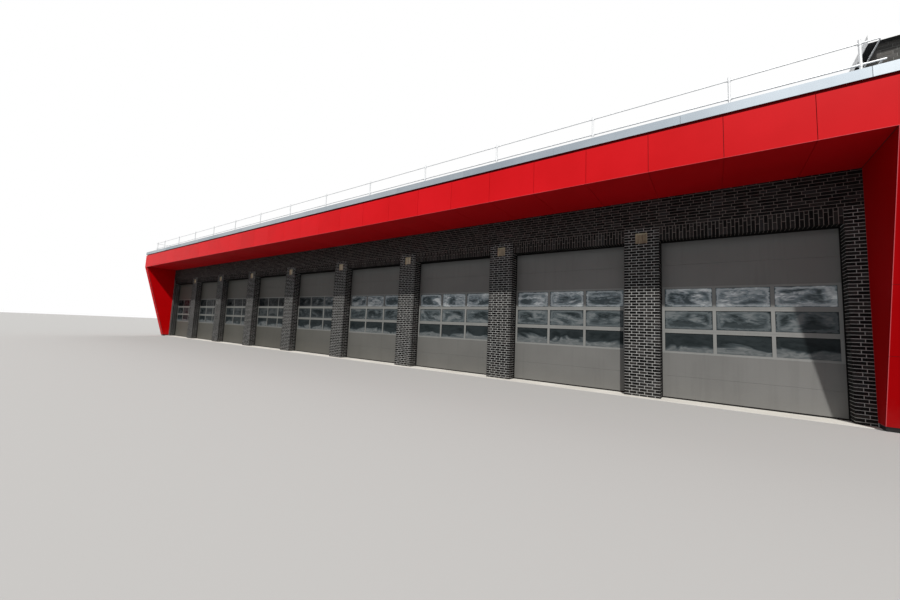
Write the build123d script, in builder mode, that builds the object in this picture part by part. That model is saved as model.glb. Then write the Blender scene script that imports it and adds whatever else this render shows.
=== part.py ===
"""Nine-bay fire station with a framed canopy and a taller side block, as a 1:2 scale model."""

import os

from build123d import *

os.makedirs("parts", exist_ok=True)

# Driving dimensions in millimetres of the 1:2 model

# Bays and front wall
door_count = 9
opening_width = 1800
opening_height = 2188
pier_width = 450
end_pier_width = 162
wall_thickness = 182
lintel_height = 192
hall_depth = 6750

# Floor and thresholds
floor_height = 8
threshold_reach = 120

# Lamp niches in the piers
niche_size = 150
niche_drop = 24
niche_depth = 45
niche_board_thickness = 8

# Sectional doors
section_count = 7
section_height = 307.5
glazed_from_section = 3
glazed_section_count = 3
panes_across = 3
leaf_thickness = 21
leaf_overlap = 25
section_joint_width = 3
section_joint_depth = 4
stile_width = 42.5
pane_rail = 28
mullion_width = 37
pane_thickness = 6
bottom_seal_height = 18
bottom_seal_thickness = 15
bottom_seal_radius = 4
jamb_seal_width = 10
jamb_seal_depth = 12

# Canopy and tapered wing walls
canopy_depth = 1000
soffit_height = 2796
soffit_thickness = 15
fascia_height = 469
fascia_thickness = 20
fascia_panel_pitch = 727
panel_joint = 5
wing_thickness = 210
wing_foot_depth = 189
wing_front_thickness = 20
wing_first_joint = 748
wing_second_joint = 1421
cladding_gap = 6
cladding_gap_depth = 8

# Roof edge
shadow_gap_height = 33
shadow_gap_depth = 25
coping_height = 106
coping_overhang = 8
coping_sheet = 6
coping_fall = 6
coping_inner_leg = 54
deck_thickness = 100

# Guard rail
rail_setback = 240
post_height = 540
post_radius = 13
top_rail_height = 503
top_rail_radius = 7
knee_rail_height = 280
knee_rail_radius = 9
knee_rail_overrun = 28
post_spacing = 1500
least_post_gap = 375
rail_end_inset = 216
rail_clearance = 0.3
end_post_inset = 357
second_post_inset = 1382
return_rail_length = 600
foot_plate_size = 50
foot_plate_thickness = 6
rail_sides = 8

# Side block with a flat roof that projects over its walls
block_width = 2250
block_height = 4386
eaves_overhang = 80
eaves_height = 102
eaves_sheet = 4
eaves_lap = 150
eaves_drip = 8

# Places worked out from the dimensions above
bay_pitch = opening_width + pier_width
frame_length = (
    door_count * opening_width
    + (door_count - 1) * pier_width
    + 2 * (end_pier_width + wing_thickness)
)
overall_length = coping_overhang + frame_length + block_width + eaves_overhang
overall_depth = coping_overhang + canopy_depth + hall_depth + eaves_overhang

left_end = -overall_length / 2 + coping_overhang
frame_end = left_end + frame_length
right_end = frame_end + block_width
front_edge = -overall_depth / 2 + coping_overhang
wall_front = front_edge + canopy_depth
wall_inside = wall_front + wall_thickness
back_face = wall_front + hall_depth
back_inside = back_face - wall_thickness
block_front = wall_inside

first_opening = left_end + wing_thickness + end_pier_width
pier_top = opening_height + lintel_height
niche_middle = opening_height - niche_drop + niche_size / 2
fascia_top = soffit_height + fascia_height
coping_bottom = fascia_top + shadow_gap_height
coping_top = coping_bottom + coping_height
wall_head = coping_top - coping_sheet - coping_fall
deck_top = coping_bottom
deck_bottom = deck_top - deck_thickness
eaves_bottom = block_height - eaves_height
block_slab_top = block_height - eaves_sheet
block_wall_head = eaves_bottom + eaves_drip
mullion_total = (panes_across - 1) * mullion_width
pane_width = (opening_width - 2 * stile_width - mullion_total) / panes_across
pane_height = section_height - 2 * pane_rail


def save(piece, name):
    """Label a finished part and write it to its own file."""
    piece.part.label = name
    export_step(piece.part, f"parts/{name}.step")


def box_between(x_range, y_range, z_range):
    """Make a plain rectangular piece that fills the three given ranges."""
    x_low, x_high = x_range
    y_low, y_high = y_range
    z_low, z_high = z_range
    centre = ((x_low + x_high) / 2, (y_low + y_high) / 2, z_low)
    with BuildPart() as piece:
        with BuildSketch(Plane(origin=centre)):
            Rectangle(x_high - x_low, y_high - y_low)
        extrude(amount=z_high - z_low)
    return piece


def opening_left(index):
    """Left edge of a doorway, counted from zero at the left end."""
    return first_opening + index * bay_pitch


def opening_centre(index):
    """Middle of a doorway along the front."""
    return opening_left(index) + opening_width / 2


def opening_centres():
    """Middles of all the doorways."""
    return [opening_centre(index) for index in range(door_count)]


# Floor inside the hall
hall_floor = box_between(
    (left_end + wall_thickness, frame_end - wall_thickness),
    (wall_inside, back_inside),
    (0, floor_height),
)
save(hall_floor, "hall_floor")


# Brick piers between and beside the doorways, with a square lamp niche in each middle one
def make_pier(index):
    """One pier, counted from zero at the left end."""
    is_first = index == 0
    is_last = index == door_count
    x_low = left_end if is_first else opening_left(index - 1) + opening_width
    x_high = frame_end if is_last else opening_left(index)
    niche_centre = ((x_low + x_high) / 2, wall_front, niche_middle)
    with BuildPart() as pier:
        with BuildSketch(Plane(origin=((x_low + x_high) / 2, (wall_front + wall_inside) / 2, 0))):
            Rectangle(x_high - x_low, wall_thickness)
        extrude(amount=pier_top)
        if not (is_first or is_last):
            with BuildSketch(Plane(origin=niche_centre, x_dir=(1, 0, 0), z_dir=(0, -1, 0))):
                Rectangle(niche_size, niche_size)
            extrude(amount=-niche_depth, mode=Mode.SUBTRACT)
    return pier


for pier_index in range(door_count + 1):
    save(make_pier(pier_index), f"pier_{pier_index + 1}")

# Backing boards at the bottom of the lamp niches
niche_back = wall_front + niche_depth
with BuildPart() as niche_boards:
    for board_index in range(1, door_count):
        board_x = opening_left(board_index) - pier_width / 2
        board_plane = Plane(
            origin=(board_x, niche_back, niche_middle),
            x_dir=(1, 0, 0),
            z_dir=(0, -1, 0),
        )
        with BuildSketch(board_plane):
            Rectangle(niche_size, niche_size)
        extrude(amount=niche_board_thickness)
save(niche_boards, "niche_boards")

# Soldier-course lintels over the doorways
lintel_origin = ((wall_front + wall_inside) / 2, opening_height)
with BuildPart() as soldier_lintels:
    with BuildSketch(Plane(origin=(0, *lintel_origin))):
        with Locations(*[(x, 0) for x in opening_centres()]):
            Rectangle(opening_width, wall_thickness)
    extrude(amount=lintel_height)
save(soldier_lintels, "soldier_lintels")

# Front wall over the piers and lintels, raised at both ends to carry the side copings
upper_wall_plane = Plane(origin=(0, wall_front, 0), x_dir=(1, 0, 0), z_dir=(0, -1, 0))
with BuildPart() as upper_front_wall:
    with BuildSketch(upper_wall_plane):
        with BuildLine():
            Polyline(
                (left_end, pier_top),
                (frame_end, pier_top),
                (frame_end, wall_head),
                (frame_end - wall_thickness, wall_head),
                (frame_end - wall_thickness, deck_bottom),
                (left_end + wall_thickness, deck_bottom),
                (left_end + wall_thickness, wall_head),
                (left_end, wall_head),
                close=True,
            )
        make_face()
    extrude(amount=-wall_thickness)
save(upper_front_wall, "upper_front_wall")

# End walls and back wall of the hall
left_end_wall = box_between(
    (left_end, left_end + wall_thickness),
    (wall_inside, back_inside),
    (0, wall_head),
)
save(left_end_wall, "left_end_wall")

right_end_wall = box_between(
    (frame_end - wall_thickness, frame_end),
    (wall_inside, back_inside),
    (0, deck_bottom),
)
save(right_end_wall, "right_end_wall")

back_wall = box_between((left_end, frame_end), (back_inside, back_face), (0, wall_head))
save(back_wall, "back_wall")


# Sectional overhead doors, each a leaf of solid and glazed sections behind its doorway
leaf_front = wall_inside
leaf_bottom = floor_height + bottom_seal_height
leaf_top = opening_height + leaf_overlap
pane_pitch = pane_width + mullion_width
glazing_bottom = floor_height + (glazed_from_section - 1) * section_height
glazing_centre = glazing_bottom + glazed_section_count * section_height / 2
joint_span = (section_count - 2) * section_height
joint_centre = floor_height + section_height + joint_span / 2


def front_plane(x, y, z):
    """Upright plane that faces the street, with its sketch centred on the given point."""
    return Plane(origin=(x, y, z), x_dir=(1, 0, 0), z_dir=(0, -1, 0))


def make_door_leaf(centre_x):
    """Door leaf with its section joints and pane openings."""
    with BuildPart() as leaf:
        with BuildSketch(front_plane(centre_x, leaf_front, (leaf_bottom + leaf_top) / 2)):
            Rectangle(opening_width + 2 * leaf_overlap, leaf_top - leaf_bottom)
        extrude(amount=-leaf_thickness)
        with BuildSketch(front_plane(centre_x, leaf_front, glazing_centre)):
            with GridLocations(pane_pitch, section_height, panes_across, glazed_section_count):
                Rectangle(pane_width, pane_height)
        extrude(amount=-leaf_thickness, mode=Mode.SUBTRACT)
        with BuildSketch(front_plane(centre_x, leaf_front, joint_centre)):
            with GridLocations(opening_width, section_height, 1, section_count - 1):
                Rectangle(opening_width + 2 * leaf_overlap, section_joint_width)
        extrude(amount=-section_joint_depth, mode=Mode.SUBTRACT)
    return leaf


for door_index in range(door_count):
    save(make_door_leaf(opening_centre(door_index)), f"door_{door_index + 1}")

# Panes of all the doors, in the middle of the leaf's thickness
pane_front = leaf_front + (leaf_thickness - pane_thickness) / 2
with BuildPart() as door_glazing:
    for pane_centre_x in opening_centres():
        with BuildSketch(front_plane(pane_centre_x, pane_front, glazing_centre)):
            with GridLocations(pane_pitch, section_height, panes_across, glazed_section_count):
                Rectangle(pane_width, pane_height)
        extrude(amount=-pane_thickness)
save(door_glazing, "door_glazing")

# Rubber strips under the leaves, with rounded lower edges
with BuildPart() as door_bottom_seals:
    for seal_centre_x in opening_centres():
        seal_plane = Plane(
            origin=(seal_centre_x - opening_width / 2 - leaf_overlap, leaf_front, floor_height),
            x_dir=(0, 1, 0),
            z_dir=(1, 0, 0),
        )
        with BuildSketch(seal_plane) as seal_profile:
            with Locations((leaf_thickness / 2, bottom_seal_height / 2)):
                Rectangle(bottom_seal_thickness, bottom_seal_height)
            lower_corners = seal_profile.vertices().group_by(Axis.Y)[0]
            fillet(lower_corners, radius=bottom_seal_radius)
        extrude(amount=opening_width + 2 * leaf_overlap)
save(door_bottom_seals, "door_bottom_seals")

# Dark seals round the inner edge of each reveal
with BuildPart() as door_frame_seals:
    for frame_centre_x in opening_centres():
        frame_height = opening_height - floor_height
        frame_middle = floor_height + frame_height / 2
        with BuildSketch(front_plane(frame_centre_x, wall_inside - jamb_seal_depth, frame_middle)):
            Rectangle(opening_width, frame_height)
            with Locations((0, -jamb_seal_width / 2)):
                Rectangle(
                    opening_width - 2 * jamb_seal_width,
                    frame_height - jamb_seal_width,
                    mode=Mode.SUBTRACT,
                )
        extrude(amount=-jamb_seal_depth)
save(door_frame_seals, "door_frame_seals")

# Pale sill along the front between the wing walls, with a threshold in each doorway
with BuildPart() as door_thresholds:
    with BuildSketch(Plane(origin=((left_end + frame_end) / 2, wall_front - threshold_reach / 2, 0))):
        Rectangle(frame_length - 2 * wing_thickness, threshold_reach)
    extrude(amount=floor_height)
    with BuildSketch(Plane(origin=(0, (wall_front + wall_inside) / 2, 0))):
        with Locations(*[(x, 0) for x in opening_centres()]):
            Rectangle(opening_width, wall_thickness)
    extrude(amount=floor_height)
save(door_thresholds, "door_thresholds")


# Wing walls that lean out from a narrow foot to the depth of the canopy
wing_foot = wall_front - wing_foot_depth


def rake_front(height):
    """How far forward the raked front of a wing wall stands at a height."""
    return wing_foot + (front_edge - wing_foot) * height / soffit_height


def rake_strip(depths, heights):
    """Corners of a strip that follows the rake, between two depths and two heights."""
    near, far = depths
    low, high = heights
    return [
        (rake_front(low) + near, low),
        (rake_front(low) + far, low),
        (rake_front(high) + far, high),
        (rake_front(high) + near, high),
    ]


def side_plane(x):
    """Upright plane across the front, facing right, with its sketch in depth and height."""
    return Plane(origin=(x, 0, 0), x_dir=(0, 1, 0), z_dir=(1, 0, 0))


def make_wing(x_low):
    """Tapered wing wall with a shadow gap behind its front cladding and joints across it."""
    gap_strip = rake_strip((wing_front_thickness, wing_front_thickness + cladding_gap), (0, soffit_height))
    mirrored_strip = [(-depth, height) for depth, height in gap_strip]
    with BuildPart() as wing:
        with BuildSketch(side_plane(x_low)):
            with BuildLine():
                Polyline(
                    (wall_front, 0),
                    (wall_front, soffit_height),
                    (front_edge, soffit_height),
                    (wing_foot, 0),
                    close=True,
                )
            make_face()
        extrude(amount=wing_thickness)
        with BuildSketch(side_plane(x_low)):
            Polygon(*gap_strip, align=None)
        extrude(amount=cladding_gap_depth, mode=Mode.SUBTRACT)
        with BuildSketch(Plane(origin=(x_low + wing_thickness, 0, 0), x_dir=(0, -1, 0), z_dir=(-1, 0, 0))):
            Polygon(*mirrored_strip, align=None)
        extrude(amount=cladding_gap_depth, mode=Mode.SUBTRACT)
        with BuildSketch(side_plane(x_low)):
            for joint_height in (wing_first_joint, wing_second_joint):
                joint_heights = (joint_height, joint_height + panel_joint)
                Polygon(*rake_strip((0, cladding_gap_depth), joint_heights), align=None)
        extrude(amount=wing_thickness, mode=Mode.SUBTRACT)
    return wing


save(make_wing(left_end), "left_wing_wall")
save(make_wing(frame_end - wing_thickness), "right_wing_wall")

# Canopy: soffit cladding with joints in line with the fascia's, carrying box, fascia and end cheeks
cladding_back = front_edge + fascia_thickness
full_panels = int(frame_length // fascia_panel_pitch)
closing_width = frame_length - full_panels * fascia_panel_pitch
joint_places = [
    frame_end - (panel + 1) * fascia_panel_pitch + panel_joint / 2 for panel in range(full_panels)
]
with BuildPart() as canopy_soffit:
    soffit_middle = (cladding_back + wall_front) / 2
    soffit_depth = wall_front - cladding_back
    with BuildSketch(Plane(origin=((left_end + frame_end) / 2, soffit_middle, soffit_height))):
        Rectangle(frame_length - 2 * fascia_thickness, soffit_depth)
    extrude(amount=soffit_thickness)
    with BuildSketch(Plane(origin=(0, soffit_middle, soffit_height))):
        with Locations(*[(place, 0) for place in joint_places]):
            Rectangle(panel_joint, soffit_depth)
    extrude(amount=cladding_gap_depth, mode=Mode.SUBTRACT)
save(canopy_soffit, "canopy_soffit")

canopy_box = box_between(
    (left_end + fascia_thickness, frame_end - fascia_thickness),
    (cladding_back, wall_front),
    (soffit_height + soffit_thickness, deck_bottom),
)
save(canopy_box, "canopy_box")

with BuildPart() as canopy_fascia:
    for panel_index in range(full_panels):
        panel_right = frame_end - panel_index * fascia_panel_pitch
        panel_centre = panel_right - (fascia_panel_pitch - panel_joint) / 2
        with BuildSketch(front_plane(panel_centre, front_edge, soffit_height + fascia_height / 2)):
            Rectangle(fascia_panel_pitch - panel_joint, fascia_height)
        extrude(amount=-fascia_thickness)
    closing_centre = left_end + closing_width / 2
    with BuildSketch(front_plane(closing_centre, front_edge, soffit_height + fascia_height / 2)):
        Rectangle(closing_width, fascia_height)
    extrude(amount=-fascia_thickness)
save(canopy_fascia, "canopy_fascia")

with BuildPart() as canopy_cheeks:
    cheek_centres = [left_end + fascia_thickness / 2, frame_end - fascia_thickness / 2]
    with BuildSketch(Plane(origin=(0, (cladding_back + wall_front) / 2, soffit_height))):
        with Locations(*[(x, 0) for x in cheek_centres]):
            Rectangle(fascia_thickness, wall_front - cladding_back)
    extrude(amount=fascia_height)
save(canopy_cheeks, "canopy_cheeks")

# Roof deck over the hall and the canopy
upstand_front = front_edge + shadow_gap_depth
upstand_back = front_edge + wall_thickness
with BuildPart() as roof_deck:
    with BuildSketch(Plane.XY.offset(deck_bottom)):
        with BuildLine():
            Polyline(
                (left_end + wall_thickness, upstand_back),
                (frame_end - wall_thickness, upstand_back),
                (frame_end - wall_thickness, block_front),
                (frame_end, block_front),
                (frame_end, back_inside),
                (left_end + wall_thickness, back_inside),
                close=True,
            )
        make_face()
    extrude(amount=deck_thickness)
save(roof_deck, "roof_deck")

# Dark upstand at the canopy edge, seen as a shadow gap between fascia and coping
with BuildPart() as roof_upstand:
    with BuildSketch(Plane.XY.offset(deck_bottom)):
        with BuildLine():
            Polyline(
                (left_end + shadow_gap_depth, wall_front),
                (left_end + shadow_gap_depth, upstand_front),
                (frame_end - shadow_gap_depth, upstand_front),
                (frame_end - shadow_gap_depth, wall_front),
                (frame_end - wall_thickness, wall_front),
                (frame_end - wall_thickness, upstand_back),
                (left_end + wall_thickness, upstand_back),
                (left_end + wall_thickness, wall_front),
                close=True,
            )
        make_face()
    extrude(amount=wall_head - deck_bottom)
save(roof_upstand, "roof_upstand")


def coping_section(top):
    """Corner points of the folded coping, measured inward from the wall's outer face."""
    outer = -coping_overhang
    inner = wall_thickness + coping_overhang
    seat = top - coping_sheet - coping_fall
    return [
        (outer, top - coping_height),
        (outer, top),
        (inner, top - coping_fall),
        (inner, top - coping_fall - coping_inner_leg),
        (inner - coping_sheet, top - coping_fall - coping_inner_leg),
        (inner - coping_sheet, seat),
        (outer + coping_sheet, seat),
        (outer + coping_sheet, top - coping_height),
    ]


# Coping round the hall roof, from the side block round the front, left and back
with BuildPart() as hall_coping:
    with BuildLine() as hall_coping_path:
        Polyline(
            (frame_end, block_front, 0),
            (frame_end, front_edge, 0),
            (left_end, front_edge, 0),
            (left_end, back_face, 0),
            (frame_end, back_face, 0),
        )
    with BuildSketch(Plane(origin=(frame_end, block_front, 0), x_dir=(-1, 0, 0), z_dir=(0, 1, 0))):
        with BuildLine():
            Polyline(*coping_section(coping_top), close=True)
        make_face()
    sweep(path=hall_coping_path.line, transition=Transition.RIGHT)
save(hall_coping, "hall_coping")


# Guard rail on the roof, with posts, a top rail, a knee rail and a return at each end
rail_line = front_edge + rail_setback
rail_left = left_end + rail_end_inset
rail_right = frame_end - rail_end_inset
rail_return_end = rail_line + return_rail_length
return_start = rail_line + knee_rail_radius + rail_clearance


def front_post_places():
    """Places of the posts along the front, from right to left."""
    last_place = left_end + end_post_inset
    places = [(frame_end - end_post_inset, rail_line)]
    place = frame_end - second_post_inset
    while place > last_place + least_post_gap:
        places.append((place, rail_line))
        place -= post_spacing
    places.append((last_place, rail_line))
    return places


def make_guard_rail(post_places, run_start, run_end, knee_overrun):
    """Posts on foot plates with a top rail, and a knee rail that runs on past both of its ends."""
    run = Vector(*run_end) - Vector(*run_start)
    direction = run.normalized()
    knee_start = Vector(*run_start) - direction * knee_overrun
    with BuildPart() as rail:
        with BuildSketch(Plane.XY.offset(deck_top)):
            with Locations(*post_places):
                Rectangle(foot_plate_size, foot_plate_size)
        extrude(amount=foot_plate_thickness)
        with BuildSketch(Plane.XY.offset(deck_top)):
            with Locations(*post_places):
                RegularPolygon(post_radius, rail_sides)
        extrude(amount=post_height)
        top_start = (*run_start, deck_top + top_rail_height)
        with BuildSketch(Plane(origin=top_start, z_dir=direction)):
            RegularPolygon(top_rail_radius, rail_sides)
        extrude(amount=run.length)
        knee_origin = (knee_start.X, knee_start.Y, deck_top + knee_rail_height)
        with BuildSketch(Plane(origin=knee_origin, z_dir=direction)):
            RegularPolygon(knee_rail_radius, rail_sides)
        extrude(amount=run.length + 2 * knee_overrun)
    return rail


guard_rail_front = make_guard_rail(
    front_post_places(), (rail_left, rail_line), (rail_right, rail_line), knee_rail_overrun
)
save(guard_rail_front, "guard_rail_front")

for side_name, side_x in (("left", rail_left), ("right", rail_right)):
    return_rail = make_guard_rail(
        [(side_x, rail_return_end)], (side_x, return_start), (side_x, rail_return_end), 0
    )
    save(return_rail, f"guard_rail_{side_name}_return")

# Taller side block beside the hall's right end
block_left_inside = frame_end + wall_thickness
block_right_inside = right_end - wall_thickness
block_front_inside = block_front + wall_thickness

block_floor = box_between(
    (block_left_inside, block_right_inside),
    (block_front_inside, back_inside),
    (0, floor_height),
)
save(block_floor, "block_floor")

block_front_wall = box_between(
    (frame_end, right_end), (block_front, block_front_inside), (0, block_wall_head)
)
save(block_front_wall, "block_front_wall")

block_back_wall = box_between(
    (frame_end, right_end), (back_inside, back_face), (0, block_wall_head)
)
save(block_back_wall, "block_back_wall")

block_left_wall = box_between(
    (frame_end, block_left_inside), (block_front_inside, back_inside), (0, block_wall_head)
)
save(block_left_wall, "block_left_wall")

block_right_wall = box_between(
    (block_right_inside, right_end), (block_front_inside, back_inside), (0, block_wall_head)
)
save(block_right_wall, "block_right_wall")

# Roof slab over the block's walls, with a pale folded edge all round
slab_margin = eaves_overhang - eaves_sheet
block_roof_deck = box_between(
    (frame_end - slab_margin, right_end + slab_margin),
    (block_front - slab_margin, back_face + slab_margin),
    (block_wall_head, block_slab_top),
)
save(block_roof_deck, "block_roof_deck")

eaves_section = [
    (0, eaves_bottom),
    (0, block_height),
    (eaves_lap, block_height),
    (eaves_lap, block_slab_top),
    (eaves_sheet, block_slab_top),
    (eaves_sheet, eaves_bottom),
]
eaves_left = frame_end - eaves_overhang
eaves_right = right_end + eaves_overhang
eaves_front = block_front - eaves_overhang
eaves_back = back_face + eaves_overhang
with BuildPart() as block_coping:
    with BuildLine() as block_coping_path:
        Polyline(
            (eaves_right, eaves_front, 0),
            (eaves_left, eaves_front, 0),
            (eaves_left, eaves_back, 0),
            (eaves_right, eaves_back, 0),
            close=True,
        )
    block_middle = (eaves_left + eaves_right) / 2
    with BuildSketch(Plane(origin=(block_middle, eaves_front, 0), x_dir=(0, 1, 0), z_dir=(1, 0, 0))):
        with BuildLine():
            Polyline(*eaves_section, close=True)
        make_face()
    sweep(path=block_coping_path.line, transition=Transition.RIGHT)
save(block_coping, "block_coping")
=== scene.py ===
"""Dressed model of a nine-bay fire station building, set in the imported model's frame."""

import logging
import math
import random
from dataclasses import dataclass, field
from enum import Enum
from typing import Callable, Iterable, Optional, Sequence

import bpy
from mathutils import Matrix, Vector


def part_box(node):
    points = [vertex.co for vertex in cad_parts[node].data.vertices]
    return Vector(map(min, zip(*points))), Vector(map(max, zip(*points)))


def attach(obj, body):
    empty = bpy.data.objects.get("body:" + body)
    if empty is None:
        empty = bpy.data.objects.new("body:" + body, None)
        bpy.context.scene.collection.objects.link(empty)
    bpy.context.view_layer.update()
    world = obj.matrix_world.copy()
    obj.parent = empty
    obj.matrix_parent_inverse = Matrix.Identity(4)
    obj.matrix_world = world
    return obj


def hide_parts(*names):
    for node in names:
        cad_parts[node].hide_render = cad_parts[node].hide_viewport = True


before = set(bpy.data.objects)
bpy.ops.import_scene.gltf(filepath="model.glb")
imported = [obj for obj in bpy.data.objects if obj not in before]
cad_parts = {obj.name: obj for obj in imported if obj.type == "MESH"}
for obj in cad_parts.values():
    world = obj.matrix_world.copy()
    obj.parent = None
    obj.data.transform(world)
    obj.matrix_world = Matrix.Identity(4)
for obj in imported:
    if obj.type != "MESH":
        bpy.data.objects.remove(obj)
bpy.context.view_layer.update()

log = logging.getLogger("station")

Triple = tuple[float, float, float]
Colour = Triple
Stops = Sequence[tuple[float, Colour]]
Point = Vector | Sequence[float]
Span = tuple[float, float]
Ends = tuple[bool, bool]

SHARP_ANGLE = math.radians(40)
LAMP_DISTANCE = 30.0
UP = Vector((0.0, 0.0, 1.0))
EAST = Vector((1.0, 0.0, 0.0))
NORTH = Vector((0.0, 1.0, 0.0))
DOORS = 9
BAY = 2.25


class Slot(Enum):
    """Material slots of the record, handed to each piece but not read."""

    BRICK = "clinker_brick"
    CONCRETE = "concrete"
    RED = "red_cladding"
    STEEL = "dark_steel"
    COPING = "pale_coping"
    DOOR = "door_grey"
    BOARD = "niche_board"
    RAIL = "galvanised_rail"


class Ramp(Enum):
    """How a colour ramp passes from one stop to the next."""

    LINEAR = "LINEAR"
    STEP = "CONSTANT"


class Side(Enum):
    """Ends of the front, as seen from the street."""

    LEFT = "left"
    RIGHT = "right"


class Wire:
    """Value on a shader sheet. Arithmetic on it places Math nodes."""

    def __init__(self, sheet: "Sheet", socket: bpy.types.NodeSocket) -> None:
        """Hold one output of a node on the sheet."""
        self.sheet = sheet
        self.socket = socket

    def __add__(self, other: "Source") -> "Wire":
        """Sum with another value."""
        return self.sheet.math("ADD", self, other)

    def __sub__(self, other: "Source") -> "Wire":
        """Difference from another value."""
        return self.sheet.math("SUBTRACT", self, other)

    def __rsub__(self, other: "Source") -> "Wire":
        """Difference of a plain value and this one."""
        return self.sheet.math("SUBTRACT", other, self)

    def __mul__(self, other: "Source") -> "Wire":
        """Product with another value."""
        return self.sheet.math("MULTIPLY", self, other)

    def __truediv__(self, other: "Source") -> "Wire":
        """Quotient by another value."""
        return self.sheet.math("DIVIDE", self, other)

    __radd__, __rmul__ = __add__, __mul__

    def clamped(self) -> "Wire":
        """Keep the result of the last step between 0 and 1."""
        self.socket.node.use_clamp = True
        return self

    def floor(self) -> "Wire":
        """Whole part of the value."""
        return self.sheet.math("FLOOR", self)


Source = Wire | float | Colour
Feeds = dict[str | int, Source]


class Sheet:
    """Short hand for placing and joining the nodes of one shader tree."""

    def __init__(self, tree: bpy.types.NodeTree) -> None:
        """Work on the tree of a material, a world or a group."""
        self.tree = tree

    def feed(self, socket: bpy.types.NodeSocket, source: Source) -> None:
        """Link a socket, or set its value where the source is a plain one.

        Args:
            socket: The input to feed.
            source: A wire, a number or a colour.
        """
        if isinstance(source, Wire):
            self.tree.links.new(source.socket, socket)
        elif isinstance(source, tuple) and socket.type == "RGBA":
            socket.default_value = (*source, 1.0)
        else:
            socket.default_value = source

    def node(self, kind: str, feeds: Feeds, **settings: object) -> bpy.types.Node:
        """Place a node.

        Args:
            kind: Blender's name of the node type, without the leading "ShaderNode".
            feeds: Sources of its inputs, by name or number.
            **settings: Properties of the node.

        Returns:
            The new node.
        """
        node = self.tree.nodes.new("ShaderNode" + kind)
        for name, value in settings.items():
            setattr(node, name, value)
        for name, source in feeds.items():
            self.feed(node.inputs[name], source)
        return node

    def take(self, kind: str, output: str | int, feeds: Optional[Feeds] = None, **settings: object) -> Wire:
        """Place a node and take one of its outputs."""
        return Wire(self, self.node(kind, feeds or {}, **settings).outputs[output])

    def effect(self, group: bpy.types.NodeTree, **values: float) -> dict[str, Wire]:
        """Place a shared effect.

        Args:
            group: One of the groups of Effects.
            **values: Input values, with underscores for the spaces in their names.

        Returns:
            The group's outputs by name.
        """
        feeds = {name.replace("_", " "): value for name, value in values.items()}
        node = self.node("Group", feeds, node_tree=group)
        return {socket.name: Wire(self, socket) for socket in node.outputs}

    def place(self) -> Wire:
        """Position on the object in metres, the same as in the row frame."""
        return self.take("TexCoord", "Object")

    def axis(self, name: str) -> Wire:
        """Position along one axis."""
        return self.take("SeparateXYZ", name, {0: self.place()})

    def stretched(self, vector: Wire, scale: Triple) -> Wire:
        """Stretch a vector by one factor for each axis."""
        return self.take("VectorMath", 0, {0: vector, 1: scale}, operation="MULTIPLY")

    def math(self, operation: str, *values: Source) -> Wire:
        """One step of arithmetic by the Math node's operation of that name."""
        return self.take("Math", 0, dict(enumerate(values)), operation=operation)

    def blend(self, factor: Source, a: Source, b: Source, mode: str = "MIX") -> Wire:
        """Mix two colours by how much of the second one shows."""
        return self.take("Mix", 2, {"Factor": factor, 6: a, 7: b}, data_type="RGBA", blend_type=mode)

    def noise(
        self, vector: Wire, scale: Source, detail: float = 3.0, rough: float = 0.5, bend: float = 0.0
    ) -> Wire:
        """Fractal noise from 0 to 1.

        Args:
            vector: Where on the surface.
            scale: Features to the metre.
            detail: Number of octaves.
            rough: Strength of the finer octaves.
            bend: How far the pattern is bent by itself.

        Returns:
            The noise value.
        """
        feeds = {"Vector": vector, "Scale": scale, "Detail": detail, "Roughness": rough, "Distortion": bend}
        return self.take("TexNoise", "Fac", feeds)

    def chance(self, number: Wire, output: str) -> Wire:
        """Chance value or colour that belongs to a whole number."""
        return self.take("TexWhiteNoise", output, {"W": number}, noise_dimensions="1D")

    def ramp(self, factor: Wire, stops: Stops, kind: Ramp = Ramp.LINEAR) -> Wire:
        """Colour that follows a value through the given stops.

        Args:
            factor: The value.
            stops: Places from 0 to 1 with their colours.
            kind: How the stops pass into each other.

        Returns:
            The colour.
        """
        node = self.node("ValToRGB", {"Fac": factor})
        node.color_ramp.interpolation = kind.value
        marks = node.color_ramp.elements
        while len(marks) < len(stops):
            marks.new(0.5)
        for mark, (place, colour) in zip(marks, stops):
            mark.position = place
            mark.color = (*colour, 1.0)
        return Wire(self, node.outputs["Color"])

    def window(self, value: Wire, low: float, high: float) -> Wire:
        """Smooth step of a value from 0 at the low mark to 1 at the high one."""
        feeds = {"Value": value, "From Min": low, "From Max": high}
        return self.take("MapRange", "Result", feeds, interpolation_type="SMOOTHSTEP")

    def bump(self, height: Wire, distance: float) -> Wire:
        """Normal bent by a height, whose value of 1 stands for a distance in metres."""
        return self.take("Bump", "Normal", {"Height": height, "Distance": distance})


Recipe = Callable[[Sheet, dict[str, Wire]], dict[str, Wire]]


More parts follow.
